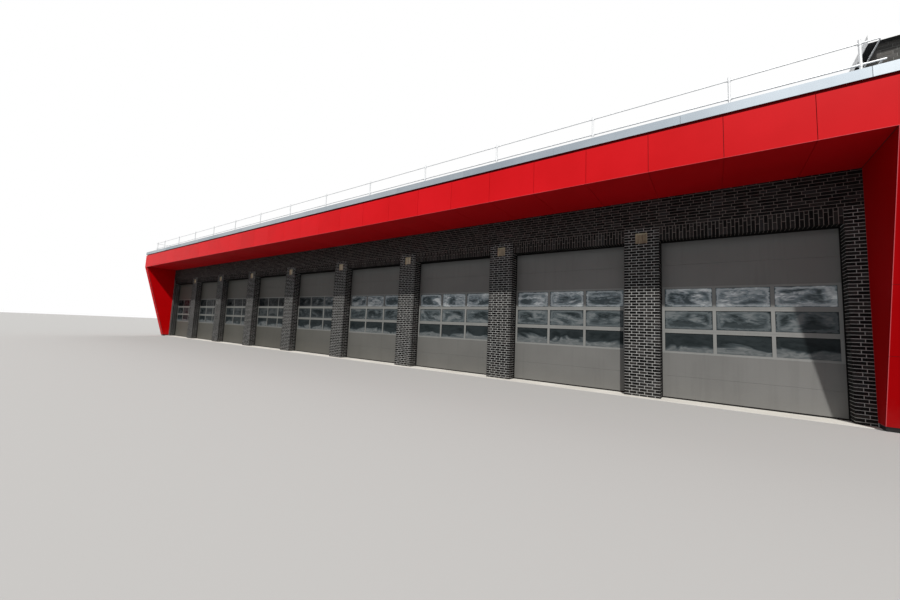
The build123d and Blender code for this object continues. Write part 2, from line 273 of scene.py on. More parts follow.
class Effects:
    """Surface effects that several finishes share, each built once as a shader group."""

    def __init__(self) -> None:
        """Build every group."""
        self.grain = self.group("surface_grain", {"Scale": 40.0, "Cloud Scale": 1.5}, self.grain_values)
        self.streaks = self.group("rain_streaks", {"Scale": 9.0, "Amount": 0.5}, self.streak_mask)
        self.splash = self.group("ground_splash", {"Reach": 0.3, "Amount": 0.5}, self.splash_mask)
        self.wear = self.group("edge_wear", {"Width": 0.004, "Amount": 0.5}, self.wear_mask)
        self.panel_tone = self.group("panel_tone", {"Pitch": 0.727, "Start": 0.0}, self.panel_value)

    @staticmethod
    def group(name: str, inputs: dict[str, float], recipe: Recipe) -> bpy.types.NodeTree:
        """Make one shader group with number sockets.

        Args:
            name: Name of the group.
            inputs: Input names with their usual values.
            recipe: What makes the named outputs from the named inputs.

        Returns:
            The group.
        """
        group = bpy.data.node_groups.new(name, "ShaderNodeTree")
        for label, value in inputs.items():
            socket = group.interface.new_socket(label, in_out="INPUT", socket_type="NodeSocketFloat")
            socket.default_value = value
        sheet = Sheet(group)
        given = group.nodes.new("NodeGroupInput")
        wires = recipe(sheet, {label: Wire(sheet, given.outputs[label]) for label in inputs})
        for label in wires:
            group.interface.new_socket(label, in_out="OUTPUT", socket_type="NodeSocketFloat")
        made = group.nodes.new("NodeGroupOutput")
        for label, wire in wires.items():
            sheet.feed(made.inputs[label], wire)
        return group

    @staticmethod
    def grain_values(sheet: Sheet, given: dict[str, Wire]) -> dict[str, Wire]:
        """Fine grain with a broader cloud beside it, for plaster, paint and stone."""
        place = sheet.place()
        return {
            "Grain": sheet.noise(place, given["Scale"], detail=4.0, rough=0.6),
            "Cloud": sheet.noise(place, given["Cloud Scale"], detail=3.0, rough=0.55),
        }

    @staticmethod
    def streak_mask(sheet: Sheet, given: dict[str, Wire]) -> dict[str, Wire]:
        """Rain runs, drawn out down the surface."""
        drawn = sheet.stretched(sheet.place(), (1.0, 1.0, 0.07))
        runs = sheet.noise(drawn, given["Scale"], detail=3.0, rough=0.6)
        return {"Mask": sheet.window(runs, 0.48, 0.72) * given["Amount"]}

    @staticmethod
    def splash_mask(sheet: Sheet, given: dict[str, Wire]) -> dict[str, Wire]:
        """Dust and splashed dirt that fades out above the ground."""
        ragged = sheet.axis("Z") / given["Reach"] + sheet.noise(sheet.place(), 14.0, detail=4.0) * -0.7
        return {"Mask": ((0.65 - ragged).clamped() * given["Amount"]).clamped()}

    @staticmethod
    def wear_mask(sheet: Sheet, given: dict[str, Wire]) -> dict[str, Wire]:
        """Worn edges, found where a rounded normal departs from the flat one."""
        rounded = sheet.take("Bevel", "Normal", {"Radius": given["Width"]}, samples=4)
        flat = sheet.take("NewGeometry", "True Normal")
        alike = sheet.take("VectorMath", "Value", {0: rounded, 1: flat}, operation="DOT_PRODUCT")
        broken = sheet.window(sheet.noise(sheet.place(), 60.0, detail=4.0, rough=0.7), 0.35, 0.65)
        return {"Mask": sheet.window(1.0 - alike, 0.01, 0.25) * broken * given["Amount"]}

    @staticmethod
    def panel_value(sheet: Sheet, given: dict[str, Wire]) -> dict[str, Wire]:
        """One chance value for each panel along the front."""
        number = ((sheet.axis("X") - given["Start"]) / given["Pitch"]).floor()
        return {"Tone": sheet.chance(number, "Value")}


@dataclass(frozen=True)
class Finish:
    """What every finish has in common: a name and one Principled shader."""

    name: str

    def make(self, effects: Effects) -> bpy.types.Material:
        """Build the material from the shared effects."""
        material = bpy.data.materials.new(self.name)
        material.use_nodes = True
        sheet = Sheet(material.node_tree)
        shader = material.node_tree.nodes["Principled BSDF"]
        for socket, source in self.surface(sheet, effects).items():
            sheet.feed(shader.inputs[socket], source)
        return material

    def surface(self, sheet: Sheet, effects: Effects) -> Feeds:
        """Sources of the shader's inputs, by name."""
        raise NotImplementedError


@dataclass(frozen=True)
class BrickFinish(Finish):
    """Clinker brick, each brick with a tone of its own."""

    tones: Stops
    speck: Colour
    dirt: Colour = (0.12, 0.113, 0.100)

    def surface(self, sheet: Sheet, effects: Effects) -> Feeds:
        """Dragged face with pale specks, pits and a little dirt near the ground."""
        tone = sheet.take("Attribute", "Fac", attribute_name="tone")
        place = sheet.place()
        grain = sheet.effect(effects.grain, Scale=210.0, Cloud_Scale=26.0)
        drag = sheet.noise(sheet.stretched(place, (1.0, 1.0, 3.6)), 26.0, detail=4.0, rough=0.6)
        colour = sheet.ramp((tone + drag * 0.60 - 0.30).clamped(), self.tones)
        colour = sheet.blend(sheet.window(grain["Grain"], 0.55, 0.80) * 0.22, colour, self.speck)
        splash = sheet.effect(effects.splash, Reach=0.30, Amount=0.08)
        return {
            "Base Color": sheet.blend(splash["Mask"], colour, self.dirt),
            "Roughness": grain["Cloud"] * 0.30 + 0.46,
            "Specular IOR Level": 0.03,
            "Normal": sheet.bump(sheet.noise(place, 75.0, detail=5.0, rough=0.7), 0.0011),
        }


@dataclass(frozen=True)
class MortarFinish(Finish):
    """Cement mortar with sandy grain."""

    pale: Colour
    dark: Colour
    dirt: Colour = (0.22, 0.20, 0.17)

    def surface(self, sheet: Sheet, effects: Effects) -> Feeds:
        """Clouded, sandy joint with some dirt near the ground."""
        grain = sheet.effect(effects.grain, Scale=320.0, Cloud_Scale=3.2)
        colour = sheet.blend(grain["Cloud"], self.dark, self.pale)
        colour = sheet.blend(grain["Grain"] * 0.35, colour, self.pale)
        splash = sheet.effect(effects.splash, Reach=0.30, Amount=0.12)
        return {
            "Base Color": sheet.blend(splash["Mask"], colour, self.dirt),
            "Roughness": grain["Grain"] * 0.16 + 0.82,
            "Specular IOR Level": 0.05,
            "Normal": sheet.bump(grain["Grain"], 0.0012),
        }


@dataclass(frozen=True)
class PaintFinish(Finish):
    """Satin paint or powder coat on sheet metal, with clouding, rain runs, dust and worn edges."""

    base: Colour
    shade: Colour
    worn: Colour
    dust: Colour = (0.30, 0.285, 0.26)
    roughness: float = 0.42
    specular: float = 0.35
    orange_peel: float = 0.00018
    peel_scale: float = 260.0
    streak_amount: float = 0.12
    splash_amount: float = 0.0
    wear_amount: float = 0.35
    panel_pitch: float = 0.0
    panel_start: float = 0.0
    panel_depth: float = 0.0
    panel_tint: Colour = (0.5, 0.5, 0.5)
    metallic: float = 0.0
    left_tint: Optional[Colour] = None

    def surface(self, sheet: Sheet, effects: Effects) -> Feeds:
        """Clouded coat, toned by panel, and with painted shade where that is asked for: darker towards the left
        end and near the ground.
        """
        grain = sheet.effect(effects.grain, Scale=self.peel_scale, Cloud_Scale=1.1)
        colour = sheet.blend(sheet.window(grain["Cloud"], 0.30, 0.70), self.shade, self.base)
        streaked = self.shade
        if self.panel_pitch:
            panel = sheet.effect(effects.panel_tone, Pitch=self.panel_pitch, Start=self.panel_start)
            colour = sheet.blend(panel["Tone"] * self.panel_depth, colour, self.panel_tint)
        # Painted shade: the coat is darkened towards the left end and towards the ground, and keeps its full tone
        # at the right end and higher up.
        if self.left_tint:
            along = (sheet.axis("X") * 0.05 + 0.49 + sheet.axis("Z") * 0.10).clamped()
            tint = sheet.ramp(along, ((0.38, self.left_tint), (0.94, (1.0, 1.0, 1.0))))
            colour = sheet.blend(1.0, colour, tint, "MULTIPLY")
            streaked = sheet.blend(0.9, colour, self.shade, "MULTIPLY")
        streaks = sheet.effect(effects.streaks, Scale=13.0, Amount=self.streak_amount)
        colour = sheet.blend(streaks["Mask"], colour, streaked)
        splash = sheet.effect(effects.splash, Reach=0.32, Amount=self.splash_amount)
        colour = sheet.blend(splash["Mask"], colour, self.dust)
        wear = sheet.effect(effects.wear, Width=0.003, Amount=self.wear_amount)
        return {
            "Base Color": sheet.blend(wear["Mask"], colour, self.worn),
            "Roughness": (grain["Cloud"] * 0.12 + self.roughness + splash["Mask"] * 0.3).clamped(),
            "Specular IOR Level": self.specular,
            "Metallic": self.metallic,
            "Normal": sheet.bump(grain["Grain"], self.orange_peel),
        }


@dataclass(frozen=True)
class GlassFinish(Finish):
    """Double pane over a dark hall, with painted reflections that differ in each row, bowed a little."""

    first: float
    foot: float
    section: float
    pane: float
    mullion: float
    rail: float
    reflection_rows: tuple[float, ...] = (0.16, 0.80, 1.00)
    low_reflection_rows: tuple[float, ...] = (0.84, 0.18, 0.08)
    right_reflection_rows: tuple[float, ...] = (0.150, 0.200, 0.740)
    left_reflection_rows: tuple[float, ...] = (0.120, 0.062, 0.045)
    tones: Stops = (
        (0.0, (0.021, 0.028, 0.030)),
        (0.5, (0.097, 0.117, 0.125)),
        (0.8, (0.190, 0.208, 0.212)),
        (1.0, (0.300, 0.318, 0.316)),
    )

    def surface(self, sheet: Sheet, effects: Effects) -> Feeds:
        """Painted reflections as veils, rims and low bands that differ from pane to pane and change along the
        front, inside a dark gasket line.
        """
        place, x = sheet.place(), sheet.axis("X")
        pitch = self.pane + self.mullion
        bays = (x - self.first) / BAY
        door = bays.floor()
        panes = (bays - door) * (BAY / pitch)
        column = panes.floor()
        across = (panes - column) * pitch
        rows = (sheet.axis("Z") - self.foot) / self.section
        row = rows.floor()
        up = rows - row
        chance = sheet.chance(door * 9.0 + column * 3.0 + row, "Color")
        moved = sheet.take("VectorMath", 0, {0: chance, 1: (23.0, 17.0, 19.0), 2: place}, operation="MULTIPLY_ADD")
        broad = sheet.noise(sheet.stretched(moved, (1.5, 1.0, 3.4)), 1.6, detail=2.0, rough=0.5, bend=1.3)
        fine = sheet.noise(sheet.stretched(moved, (1.6, 1.0, 4.6)), 4.5, detail=3.0, rough=0.6, bend=1.8)
        level = up * self.section
        near_side = sheet.math("MINIMUM", across, self.pane - across)
        near_rail = sheet.math("MINIMUM", level - self.rail, self.section - self.rail - level)
        inset = near_side * near_rail / (near_side + near_rail)
        wavy = inset + (fine - 0.5) * 0.04
        rim = (sheet.window(wavy, 0.002, 0.014) - sheet.window(wavy, 0.018, 0.042)).clamped()
        which = (row * 0.5).clamped()
        reflection_level, low_reflection_level, right, left = (
            sheet.ramp(which, [(mark, (value,) * 3) for mark, value in zip((0.0, 0.25, 0.75), values)], Ramp.STEP)
            for values in (self.reflection_rows, self.low_reflection_rows, self.right_reflection_rows, self.left_reflection_rows)
        )
        # Painted reflection: pale veils and rims, strongest in the top row.
        painted_reflection = sheet.window(broad * 0.68 + fine * 0.32, 0.38, 0.64) * reflection_level
        painted_reflection = sheet.math("MAXIMUM", painted_reflection, rim * reflection_level * 0.75) * sheet.window(inset, 0.0005, 0.0075)
        # Painted reflection of the ground: a pale band low in each pane.
        low = 1.0 - sheet.window(up + (broad - 0.5) * 1.1, 0.22, 0.46)
        painted_reflection = sheet.math("MAXIMUM", painted_reflection, low * low_reflection_level * (fine * 0.90 + 0.55))
        # The painted reflections are scaled differently at the left and at the right end of the front.
        reflection_gain = sheet.blend(sheet.window(x, -2.5, 3.5), left, right) * 4.0
        waves = sheet.noise(sheet.stretched(place, (1.0, 1.0, 2.0)), 3.0, detail=2.0, rough=0.4, bend=0.6)
        return {
            "Base Color": sheet.blend(1.0, sheet.ramp(painted_reflection, self.tones), reflection_gain, "MULTIPLY"),
            "Roughness": 0.08,
            "Specular IOR Level": 0.015,
            "Transmission Weight": 0.03,
            "IOR": 1.45,
            "Normal": sheet.bump(waves, 0.006),
        }


@dataclass(frozen=True)
class BoardFinish(Finish):
    """Bare wooden board with upright grain and brown runs, newer and paler away from the right end."""

    rings: Stops = ((0.34, (0.110, 0.078, 0.048)), (0.48, (0.215, 0.172, 0.114)), (0.64, (0.370, 0.310, 0.212)))
    fibre: Colour = (0.200, 0.142, 0.084)
    fresh: Colour = (0.640, 0.575, 0.430)
    run: Colour = (0.065, 0.038, 0.020)

    def surface(self, sheet: Sheet, effects: Effects) -> Feeds:
        """Year rings with fibres over them, and runs over both."""
        place = sheet.place()
        fibres = sheet.noise(sheet.stretched(place, (1.0, 1.0, 0.10)), 190.0, detail=4.0, rough=0.6, bend=0.4)
        rings = sheet.noise(sheet.stretched(place, (1.0, 1.0, 0.16)), 34.0, detail=3.0, rough=0.5, bend=1.5)
        colour = sheet.blend(fibres * 0.4, sheet.ramp(rings, self.rings), self.fibre)
        newer = (1.0 - sheet.window(sheet.axis("X"), 1.5, 6.3)).clamped()
        colour = sheet.blend(newer * 0.80, colour, self.fresh)
        streaks = sheet.effect(effects.streaks, Scale=40.0, Amount=0.85)
        return {
            "Base Color": sheet.blend(streaks["Mask"], colour, self.run),
            "Roughness": fibres * 0.25 + 0.62,
            "Normal": sheet.bump(fibres, 0.0008),
        }


@dataclass(frozen=True)
class StoneFinish(Finish):
    """Concrete, plaster or roofing felt: a mottled, grainy mineral surface."""

    pale: Colour = (0.40, 0.395, 0.38)
    dark: Colour = (0.30, 0.295, 0.28)
    grain_scale: float = 120.0
    height: float = 0.0010
    roughness: float = 0.85

    def surface(self, sheet: Sheet, effects: Effects) -> Feeds:
        """Two tones in clouds, with darker specks."""
        grain = sheet.effect(effects.grain, Scale=self.grain_scale, Cloud_Scale=1.8)
        colour = sheet.blend(sheet.window(grain["Cloud"], 0.25, 0.75), self.dark, self.pale)
        return {
            "Base Color": sheet.blend(sheet.window(grain["Grain"], 0.45, 0.75) * 0.30, colour, self.dark),
            "Roughness": grain["Grain"] * 0.16 + (self.roughness - 0.08),
            "Normal": sheet.bump(grain["Grain"], self.height),
        }


@dataclass(frozen=True)
class RubberFinish(Finish):
    """Black sealing rubber, dulled by dust."""

    dark: Colour = (0.003, 0.003, 0.003)
    pale: Colour = (0.009, 0.0085, 0.008)
    dust: Colour = (0.11, 0.10, 0.085)

    def surface(self, sheet: Sheet, effects: Effects) -> Feeds:
        """Nearly even black with dust near the ground."""
        grain = sheet.effect(effects.grain, Scale=400.0, Cloud_Scale=7.0)
        splash = sheet.effect(effects.splash, Reach=0.10, Amount=0.06)
        colour = sheet.blend(grain["Cloud"], self.dark, self.pale)
        return {
            "Base Color": sheet.blend(splash["Mask"], colour, self.dust),
            "Roughness": grain["Grain"] * 0.25 + 0.55,
            "Specular IOR Level": 0.08,
            "Normal": sheet.bump(grain["Grain"], 0.0003),
        }


@dataclass(frozen=True)
class ZincFinish(Finish):
    """Hot-dip galvanised steel with its spangle."""

    dark: Colour = (0.66, 0.675, 0.69)
    pale: Colour = (0.84, 0.85, 0.86)
    dull: Colour = (0.55, 0.55, 0.54)

    def surface(self, sheet: Sheet, effects: Effects) -> Feeds:
        """Crystals of different tone and gloss, dulled in clouds."""
        spangle = sheet.take("TexVoronoi", "Color", {"Vector": sheet.place(), "Scale": 150.0}, feature="F1")
        tone, gloss = (sheet.take("SeparateColor", number, {0: spangle}) for number in (0, 1))
        grain = sheet.effect(effects.grain, Scale=90.0, Cloud_Scale=6.0)
        return {
            "Base Color": sheet.blend(grain["Cloud"] * 0.25, sheet.blend(tone, self.dark, self.pale), self.dull),
            "Metallic": 0.30,
            "Roughness": gloss * 0.18 + 0.34,
            "Normal": sheet.bump(grain["Grain"], 0.0002),
        }


@dataclass(frozen=True)
class DoorSizes:
    """Sizes of the doors' sections and window frames, in metres of the 1:2 model."""

    sections: int = 7
    first_glazed: int = 2
    glazed: int = 3
    panes: int = 3
    overlap: float = 0.025
    gap: float = 0.0012
    stile: float = 0.0425
    rail: float = 0.028
    mullion: float = 0.037
    lip: float = 0.003
    fold_back: float = 0.00224
    fold_turn: float = 0.00064

    def section(self) -> float:
        """Height of one section, from the glazing's height."""
        low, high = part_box("door_glazing")
        return (high.z - low.z + 2 * self.rail) / self.glazed

    def pane(self, width: float) -> float:
        """Clear width of a pane in a leaf of the given width."""
        frames = 2 * self.overlap + 2 * self.stile + (self.panes - 1) * self.mullion
        return (width - frames) / self.panes


class Finishes:
    """Every finish of the building, made once."""

    def __init__(self) -> None:
        """Build the shared effects and then each material."""
        self.effects = effects = Effects()

        def paint(name: str, base: Colour, shade: Colour, worn: Colour, **changes: object) -> bpy.types.Material:
            """Make one paint from its colours and what differs from the usual paint."""
            return PaintFinish(name, base, shade, worn, **changes).make(effects)

        self.brick = BrickFinish(
            "clinker_brick_face", (
                (0.00, (0.0045, 0.0044, 0.0044)), (0.38, (0.0105, 0.0101, 0.0098)),
                (0.64, (0.0215, 0.0205, 0.0197)), (0.86, (0.0390, 0.0355, 0.0330)),
                (1.00, (0.0310, 0.0320, 0.0340)),
            ), (0.060, 0.057, 0.054),
        ).make(effects)
        # Greyer dusty brick for the side block, also made paler as painted light for its shaded faces.
        self.dusty_brick_painted_light = BrickFinish(
            "dusty_clinker_painted_light", (
                (0.0, (0.076, 0.074, 0.070)), (0.4, (0.096, 0.092, 0.086)),
                (0.7, (0.116, 0.109, 0.101)), (1.0, (0.106, 0.104, 0.102)),
            ), (0.150, 0.145, 0.136),
        ).make(effects)
        # The third mortar is darker as painted shade under the canopy.
        self.mortar, self.dusty_mortar, self.mortar_with_painted_shade = (
            MortarFinish(name, pale, dark).make(effects)
            for name, pale, dark in (
                ("grey_mortar", (0.535, 0.533, 0.515), (0.415, 0.413, 0.396)),
                ("dusty_mortar", (0.250, 0.247, 0.236), (0.190, 0.188, 0.178)),
                ("mortar_with_painted_shade", (0.245, 0.222, 0.204), (0.180, 0.162, 0.148)),
            )
        )
        self.plaster = StoneFinish("wall_plaster").make(effects)
        self.concrete = StoneFinish("floor_concrete").make(effects)
        self.threshold = StoneFinish(
            "threshold_stone", (0.72, 0.700, 0.650), (0.60, 0.580, 0.530), grain_scale=150.0, roughness=0.7
        ).make(effects)
        self.felt = StoneFinish(
            "roof_felt", (0.142, 0.145, 0.147), (0.112, 0.114, 0.115), grain_scale=420.0, height=0.0016
        ).make(effects)
        self.red = paint(
            "red_cladding_panels", (0.620, 0.0036, 0.0075), (0.550, 0.0020, 0.0045), (0.62, 0.050, 0.060),
            panel_pitch=0.727, panel_start=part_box("canopy_fascia")[1].x, panel_depth=0.5,
            panel_tint=(0.66, 0.007, 0.012), streak_amount=0.10, splash_amount=0.22, specular=0.10,
            wear_amount=0.2,
        )
        # Painted shade: the right wing's red is darker than the left one's, for the shade on its inner face.
        self.wing_reds_with_painted_shade = {
            side: paint(
                f"red_{side.value}_wing_panels", (strength, 0.0018, 0.0038), (strength * 0.9, 0.0010, 0.0022),
                (strength, 0.026, 0.032), specular=0.03, splash_amount=0.04, wear_amount=0.06,
            )
            for side, strength in ((Side.LEFT, 0.610), (Side.RIGHT, 0.445))
        }
        # Painted shade: the upstand's red is darkened for the shadow under the coping.
        self.red_painted_shade = paint(
            "red_upstand_painted_shade", (0.230, 0.0030, 0.0045), (0.170, 0.0020, 0.0030), (0.30, 0.02, 0.02),
            specular=0.10,
        )
        # Paler reds for the edge strips, as painted highlights on the folded edges.
        self.red_trim, self.wing_highlight_trim = (
            paint(name, base, shade, (0.8, 0.3, 0.3), specular=0.2)
            for name, base, shade in (
                ("red_edge_painted_highlight", (0.66, 0.060, 0.075), (0.60, 0.03, 0.04)),
                ("wing_edge_painted_highlight", (0.700, 0.110, 0.125), (0.640, 0.080, 0.092)),
            )
        )
        # The door paint and the window frames carry painted shade that darkens them towards the left end and the
        # ground.
        self.door = paint(
            "door_paint", (0.186, 0.184, 0.176), (0.165, 0.163, 0.156), (0.26, 0.26, 0.25),
            roughness=0.50, specular=0.14, orange_peel=0.00035, peel_scale=330.0, streak_amount=0.08,
            splash_amount=0.10, dust=(0.16, 0.150, 0.130), left_tint=(0.40, 0.392, 0.355),
        )
        self.frame = paint(
            "door_window_frames", (0.250, 0.252, 0.242), (0.225, 0.227, 0.218), (0.34, 0.34, 0.33),
            roughness=0.38, specular=0.12, orange_peel=0.0001, streak_amount=0.10, wear_amount=0.2,
            left_tint=(0.56, 0.565, 0.550),
        )
        sizes = DoorSizes()
        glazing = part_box("door_glazing")[0]
        leaf_low, leaf_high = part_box("door_1")
        self.glass = GlassFinish(
            "door_pane", glazing.x, glazing.z - sizes.rail, sizes.section(), sizes.pane(leaf_high.x - leaf_low.x),
            sizes.mullion, sizes.rail,
        ).make(effects)
        self.rubber = RubberFinish("seal_rubber").make(effects)
        self.board = BoardFinish("niche_board_wood").make(effects)
        self.cream = paint(
            "niche_rim_cream", (0.720, 0.645, 0.490), (0.580, 0.505, 0.370), (0.78, 0.72, 0.58),
            specular=0.1, streak_amount=0.4,
        )
        self.steel = paint(
            "dark_steel_paint", (0.022, 0.021, 0.022), (0.013, 0.012, 0.013), (0.06, 0.055, 0.055),
            streak_amount=0.05,
        )
        self.soffit = paint(
            "dark_soffit_boards", (0.045, 0.046, 0.048), (0.030, 0.031, 0.033), (0.08, 0.08, 0.08),
            roughness=0.6,
        )
        self.strap = paint(
            "butt_strap_coat", (0.260, 0.290, 0.330), (0.200, 0.230, 0.260), (0.32, 0.34, 0.36)
        )
        # Bluish grey: the coping's pale metal with a painted reflection of the sky.
        self.coping = paint(
            "coping_coat_painted_sky_reflection", (0.312, 0.352, 0.392), (0.250, 0.290, 0.328), (0.52, 0.55, 0.57),
            roughness=0.38, specular=0.5, metallic=0.55, streak_amount=0.16,
            panel_pitch=1.5, panel_start=8.764, panel_depth=0.6, panel_tint=(0.49, 0.525, 0.545),
        )
        self.white = paint(
            "roof_edge_white", (0.870, 0.875, 0.870), (0.800, 0.805, 0.800), (0.90, 0.90, 0.90),
            roughness=0.40, specular=0.45,
        )
        self.zinc = ZincFinish("galvanised_zinc").make(effects)


@dataclass
class Pile:
    """Corners and faces of one piece while it is being made, with a tone and a material for each face."""

    verts: list[tuple[float, float, float]] = field(default_factory=list)
    faces: list[tuple[int, ...]] = field(default_factory=list)
    tones: list[float] = field(default_factory=list)
    marks: list[int] = field(default_factory=list)
    smooth: list[bool] = field(default_factory=list)

    def corner(self, point: Point) -> int:
        """Add one corner and return its number."""
        self.verts.append((point[0], point[1], point[2]))
        return len(self.verts) - 1

    def ring(self, points: Iterable[Point]) -> list[int]:
        """Add several corners and return their numbers."""
        return [self.corner(point) for point in points]

    def face(self, corners: Iterable[int], tone: float = 0.5, mark: int = 0, smooth: bool = False) -> None:
        """Add one face.

        Args:
            corners: Numbers of its corners, counter-clockwise from outside.
            tone: Chance value that the finish reads.
            mark: Which of the piece's materials it takes.
            smooth: Whether it shades smoothly.
        """
        self.faces.append(tuple(corners))
        self.tones.append(tone)
        self.marks.append(mark)
        self.smooth.append(smooth)

    def quad(self, *points: Point, mark: int = 0) -> None:
        """Add a face with corners of its own."""
        self.face(self.ring(points), mark=mark)

    def strip(
        self, near: Sequence[int], far: Sequence[int], tone: float = 0.5, mark: int = 0, smooth: bool = False
    ) -> None:
        """Join two rings of corners by a closed band of faces.

        Args:
            near: Corners of one ring, turning left as seen from beyond the other.
            far: Corners of the other ring, one for each of the near one.
            tone: Chance value that the finish reads.
            mark: Which of the piece's materials it takes.
            smooth: Whether it shades smoothly.
        """
        for i in range(len(near)):
            j = (i + 1) % len(near)
            self.face((near[i], near[j], far[j], far[i]), tone, mark, smooth)

    def block(self, low: Point, high: Point, mark: int = 0) -> None:
        """Add a closed rectangular block between two corners."""
        outline = [(low[0], low[1]), (high[0], low[1]), (high[0], high[1]), (low[0], high[1])]
        self.loft([(x, y, low[2]) for x, y in outline], [(x, y, high[2]) for x, y in outline], mark)

    def loft(self, near: Sequence[Point], far: Sequence[Point], mark: int = 0) -> None:
        """Add a closed solid between two rings that turn left as seen from beyond the far one.

        Args:
            near: Points of the near ring.
            far: Points of the far ring, one for each point of the near one.
            mark: Number of its material.
        """
        first, last = self.ring(near), self.ring(far)
        self.strip(first, last, mark=mark)
        self.face(first[::-1], mark=mark)
        self.face(last, mark=mark)

    def prism(self, outline: Sequence[Span], run: Span, mark: int = 0) -> None:
        """Add a solid of one cross-section along the front.

        Args:
            outline: Depth and height of its corners, turning left as seen from the right end.
            run: Left and right end.
            mark: Number of its material.
        """
        self.loft([(run[0], y, z) for y, z in outline], [(run[1], y, z) for y, z in outline], mark)

    def tube(self, start: Point, end: Point, radius: float, sides: int = 16) -> None:
        """Add a round bar with flat ends.

        Args:
            start: Middle of one end.
            end: Middle of the other end.
            radius: Radius of the bar.
            sides: Number of sides.
        """
        axis = (end - start).normalized()
        side = axis.orthogonal().normalized()
        over = axis.cross(side)
        turns = [math.tau * k / sides for k in range(sides)]
        low_cap, low, high, high_cap = (
            self.ring(middle + radius * (math.cos(turn) * side + math.sin(turn) * over) for turn in turns)
            for middle in (start, start, end, end)
        )
        self.strip(low, high, smooth=True)
        self.face(low_cap[::-1])
        self.face(high_cap)

    def lattice(self, xs: Sequence[float], y: float, zs: Sequence[float]) -> list[list[int]]:
        """Add a corner at every crossing of lines on an upright plane, in rows from the ground up."""
        return [self.ring((x, y, z) for x in xs) for z in zs]

    def piece(
        self, name: str, slot: Slot, materials: Sequence[bpy.types.Material], replaces: Sequence[str] = ()
    ) -> bpy.types.Object:
        """Turn the pile into an object that rides on the building.

        Args:
            name: Name of the piece.
            slot: The record's slot that its finish belongs to; not used.
            materials: Materials, in the order of the marks.
            replaces: CAD nodes that the piece stands for.

        Returns:
            The new object.
        """
        mesh = bpy.data.meshes.new(name)
        mesh.from_pydata(self.verts, [], self.faces)
        for material in materials:
            mesh.materials.append(material)
        mesh.polygons.foreach_set("material_index", self.marks)
        mesh.polygons.foreach_set("use_smooth", self.smooth)
        tone = mesh.attributes.new("tone", "FLOAT", "FACE")
        tone.data.foreach_set("value", self.tones)
        mesh.validate()
        mesh.update()
        piece = bpy.data.objects.new(name, mesh)
        bpy.context.scene.collection.objects.link(piece)
        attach(piece, "root")
        if replaces:
            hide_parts(*replaces)
        log.info("%s: %d faces", name, len(self.faces))
        return piece


def cell(grid: Sequence[Sequence[int]], row: int, column: int) -> list[int]:
    """Corners of one cell of a lattice, counter-clockwise as seen from the street."""
    return [grid[row][column], grid[row][column + 1], grid[row + 1][column + 1], grid[row + 1][column]]


def rim(grid: Sequence[Sequence[int]]) -> list[int]:
    """Corners around a lattice, counter-clockwise as seen from the street."""
    right = [line[-1] for line in grid[1:-1]]
    left = [line[0] for line in grid[-2:0:-1]]
    return [*grid[0], *right, *grid[-1][::-1], *left]


def round_edges(piece: bpy.types.Object, width: float, segments: int = 2) -> None:
    """Round a piece's sharp edges with a modifier.

    Args:
        piece: The piece.
        width: Width of the rounding in metres.
        segments: Steps in the rounding.
    """
    bevel = piece.modifiers.new("rounded_edges", "BEVEL")
    bevel.width = width
    bevel.segments = segments
    bevel.limit_method = "ANGLE"
    bevel.angle_limit = SHARP_ANGLE


def dress(node: str, material: bpy.types.Material) -> bpy.types.Object:
    """Give a CAD node its finish.

    Args:
        node: Name of the node.
        material: Its material.

    Returns:
        The node's object.
    """
    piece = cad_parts[node]
    piece.data.materials.clear()
    piece.data.materials.append(material)
    log.info("%s: CAD node dressed", node)
    return piece


@dataclass(frozen=True)
class Bond:
    """Sizes of the brickwork, in metres of the 1:2 model."""

    course: float = 0.03974
    joint: float = 0.0064
    stretcher: float = 0.125
    recess: float = 0.003
    depth: float = 0.005
    chamfer: float = 0.0011
    unevenness: float = 0.0007
    least: float = 0.004
    least_course: float = 0.006
    least_joint: float = 0.02
    header_share: float = 0.07
    header_pair_share: float = 0.03
    dark_share: float = 0.84
    dark_tones: Span = (0.06, 0.62)
    pale_tones: Span = (0.70, 0.30)


@dataclass(frozen=True)
class Face:
    """One face of a wall: where it starts, which way it runs and rises, how far, and which ends are corners."""

    origin: Vector
    along: Vector
    length: float
    span: Span = (0.0, 0.0)
    free: Ends = (True, True)
    rise: Vector = field(default_factory=UP.copy)

    def at(self, run: float, height: float, depth: float) -> Vector:
        """Point on the face, behind it by a depth."""
        return self.origin + self.along * run + self.rise * height - self.along.cross(self.rise) * depth


@dataclass(frozen=True)
class Patch:
    """Rectangle on a face for one brick, with its tone."""

    run: Span
    height: Span
    tone: float = 0.5

    def around(self, hole: Optional["Patch"]) -> Iterable["Patch"]:
        """Parts of the brick that are left beside, under and over a square hole.

        Args:
            hole: The hole, if the face has one.

        Yields:
            Each part, with the brick's tone.
        """
        (u0, u1), (v0, v1) = self.run, self.height
        if hole is None or u1 <= hole.run[0] or u0 >= hole.run[1] or v1 <= hole.height[0] or v0 >= hole.height[1]:
            yield self
            return
        middle = (max(u0, hole.run[0]), min(u1, hole.run[1]))
        parts = (
            ((u0, hole.run[0]), self.height), ((hole.run[1], u1), self.height),
            (middle, (v0, hole.height[0])), (middle, (hole.height[1], v1)),
        )
        for run, height in parts:
            if run[0] < run[1] and height[0] < height[1]:
                yield Patch(run, height, self.tone)


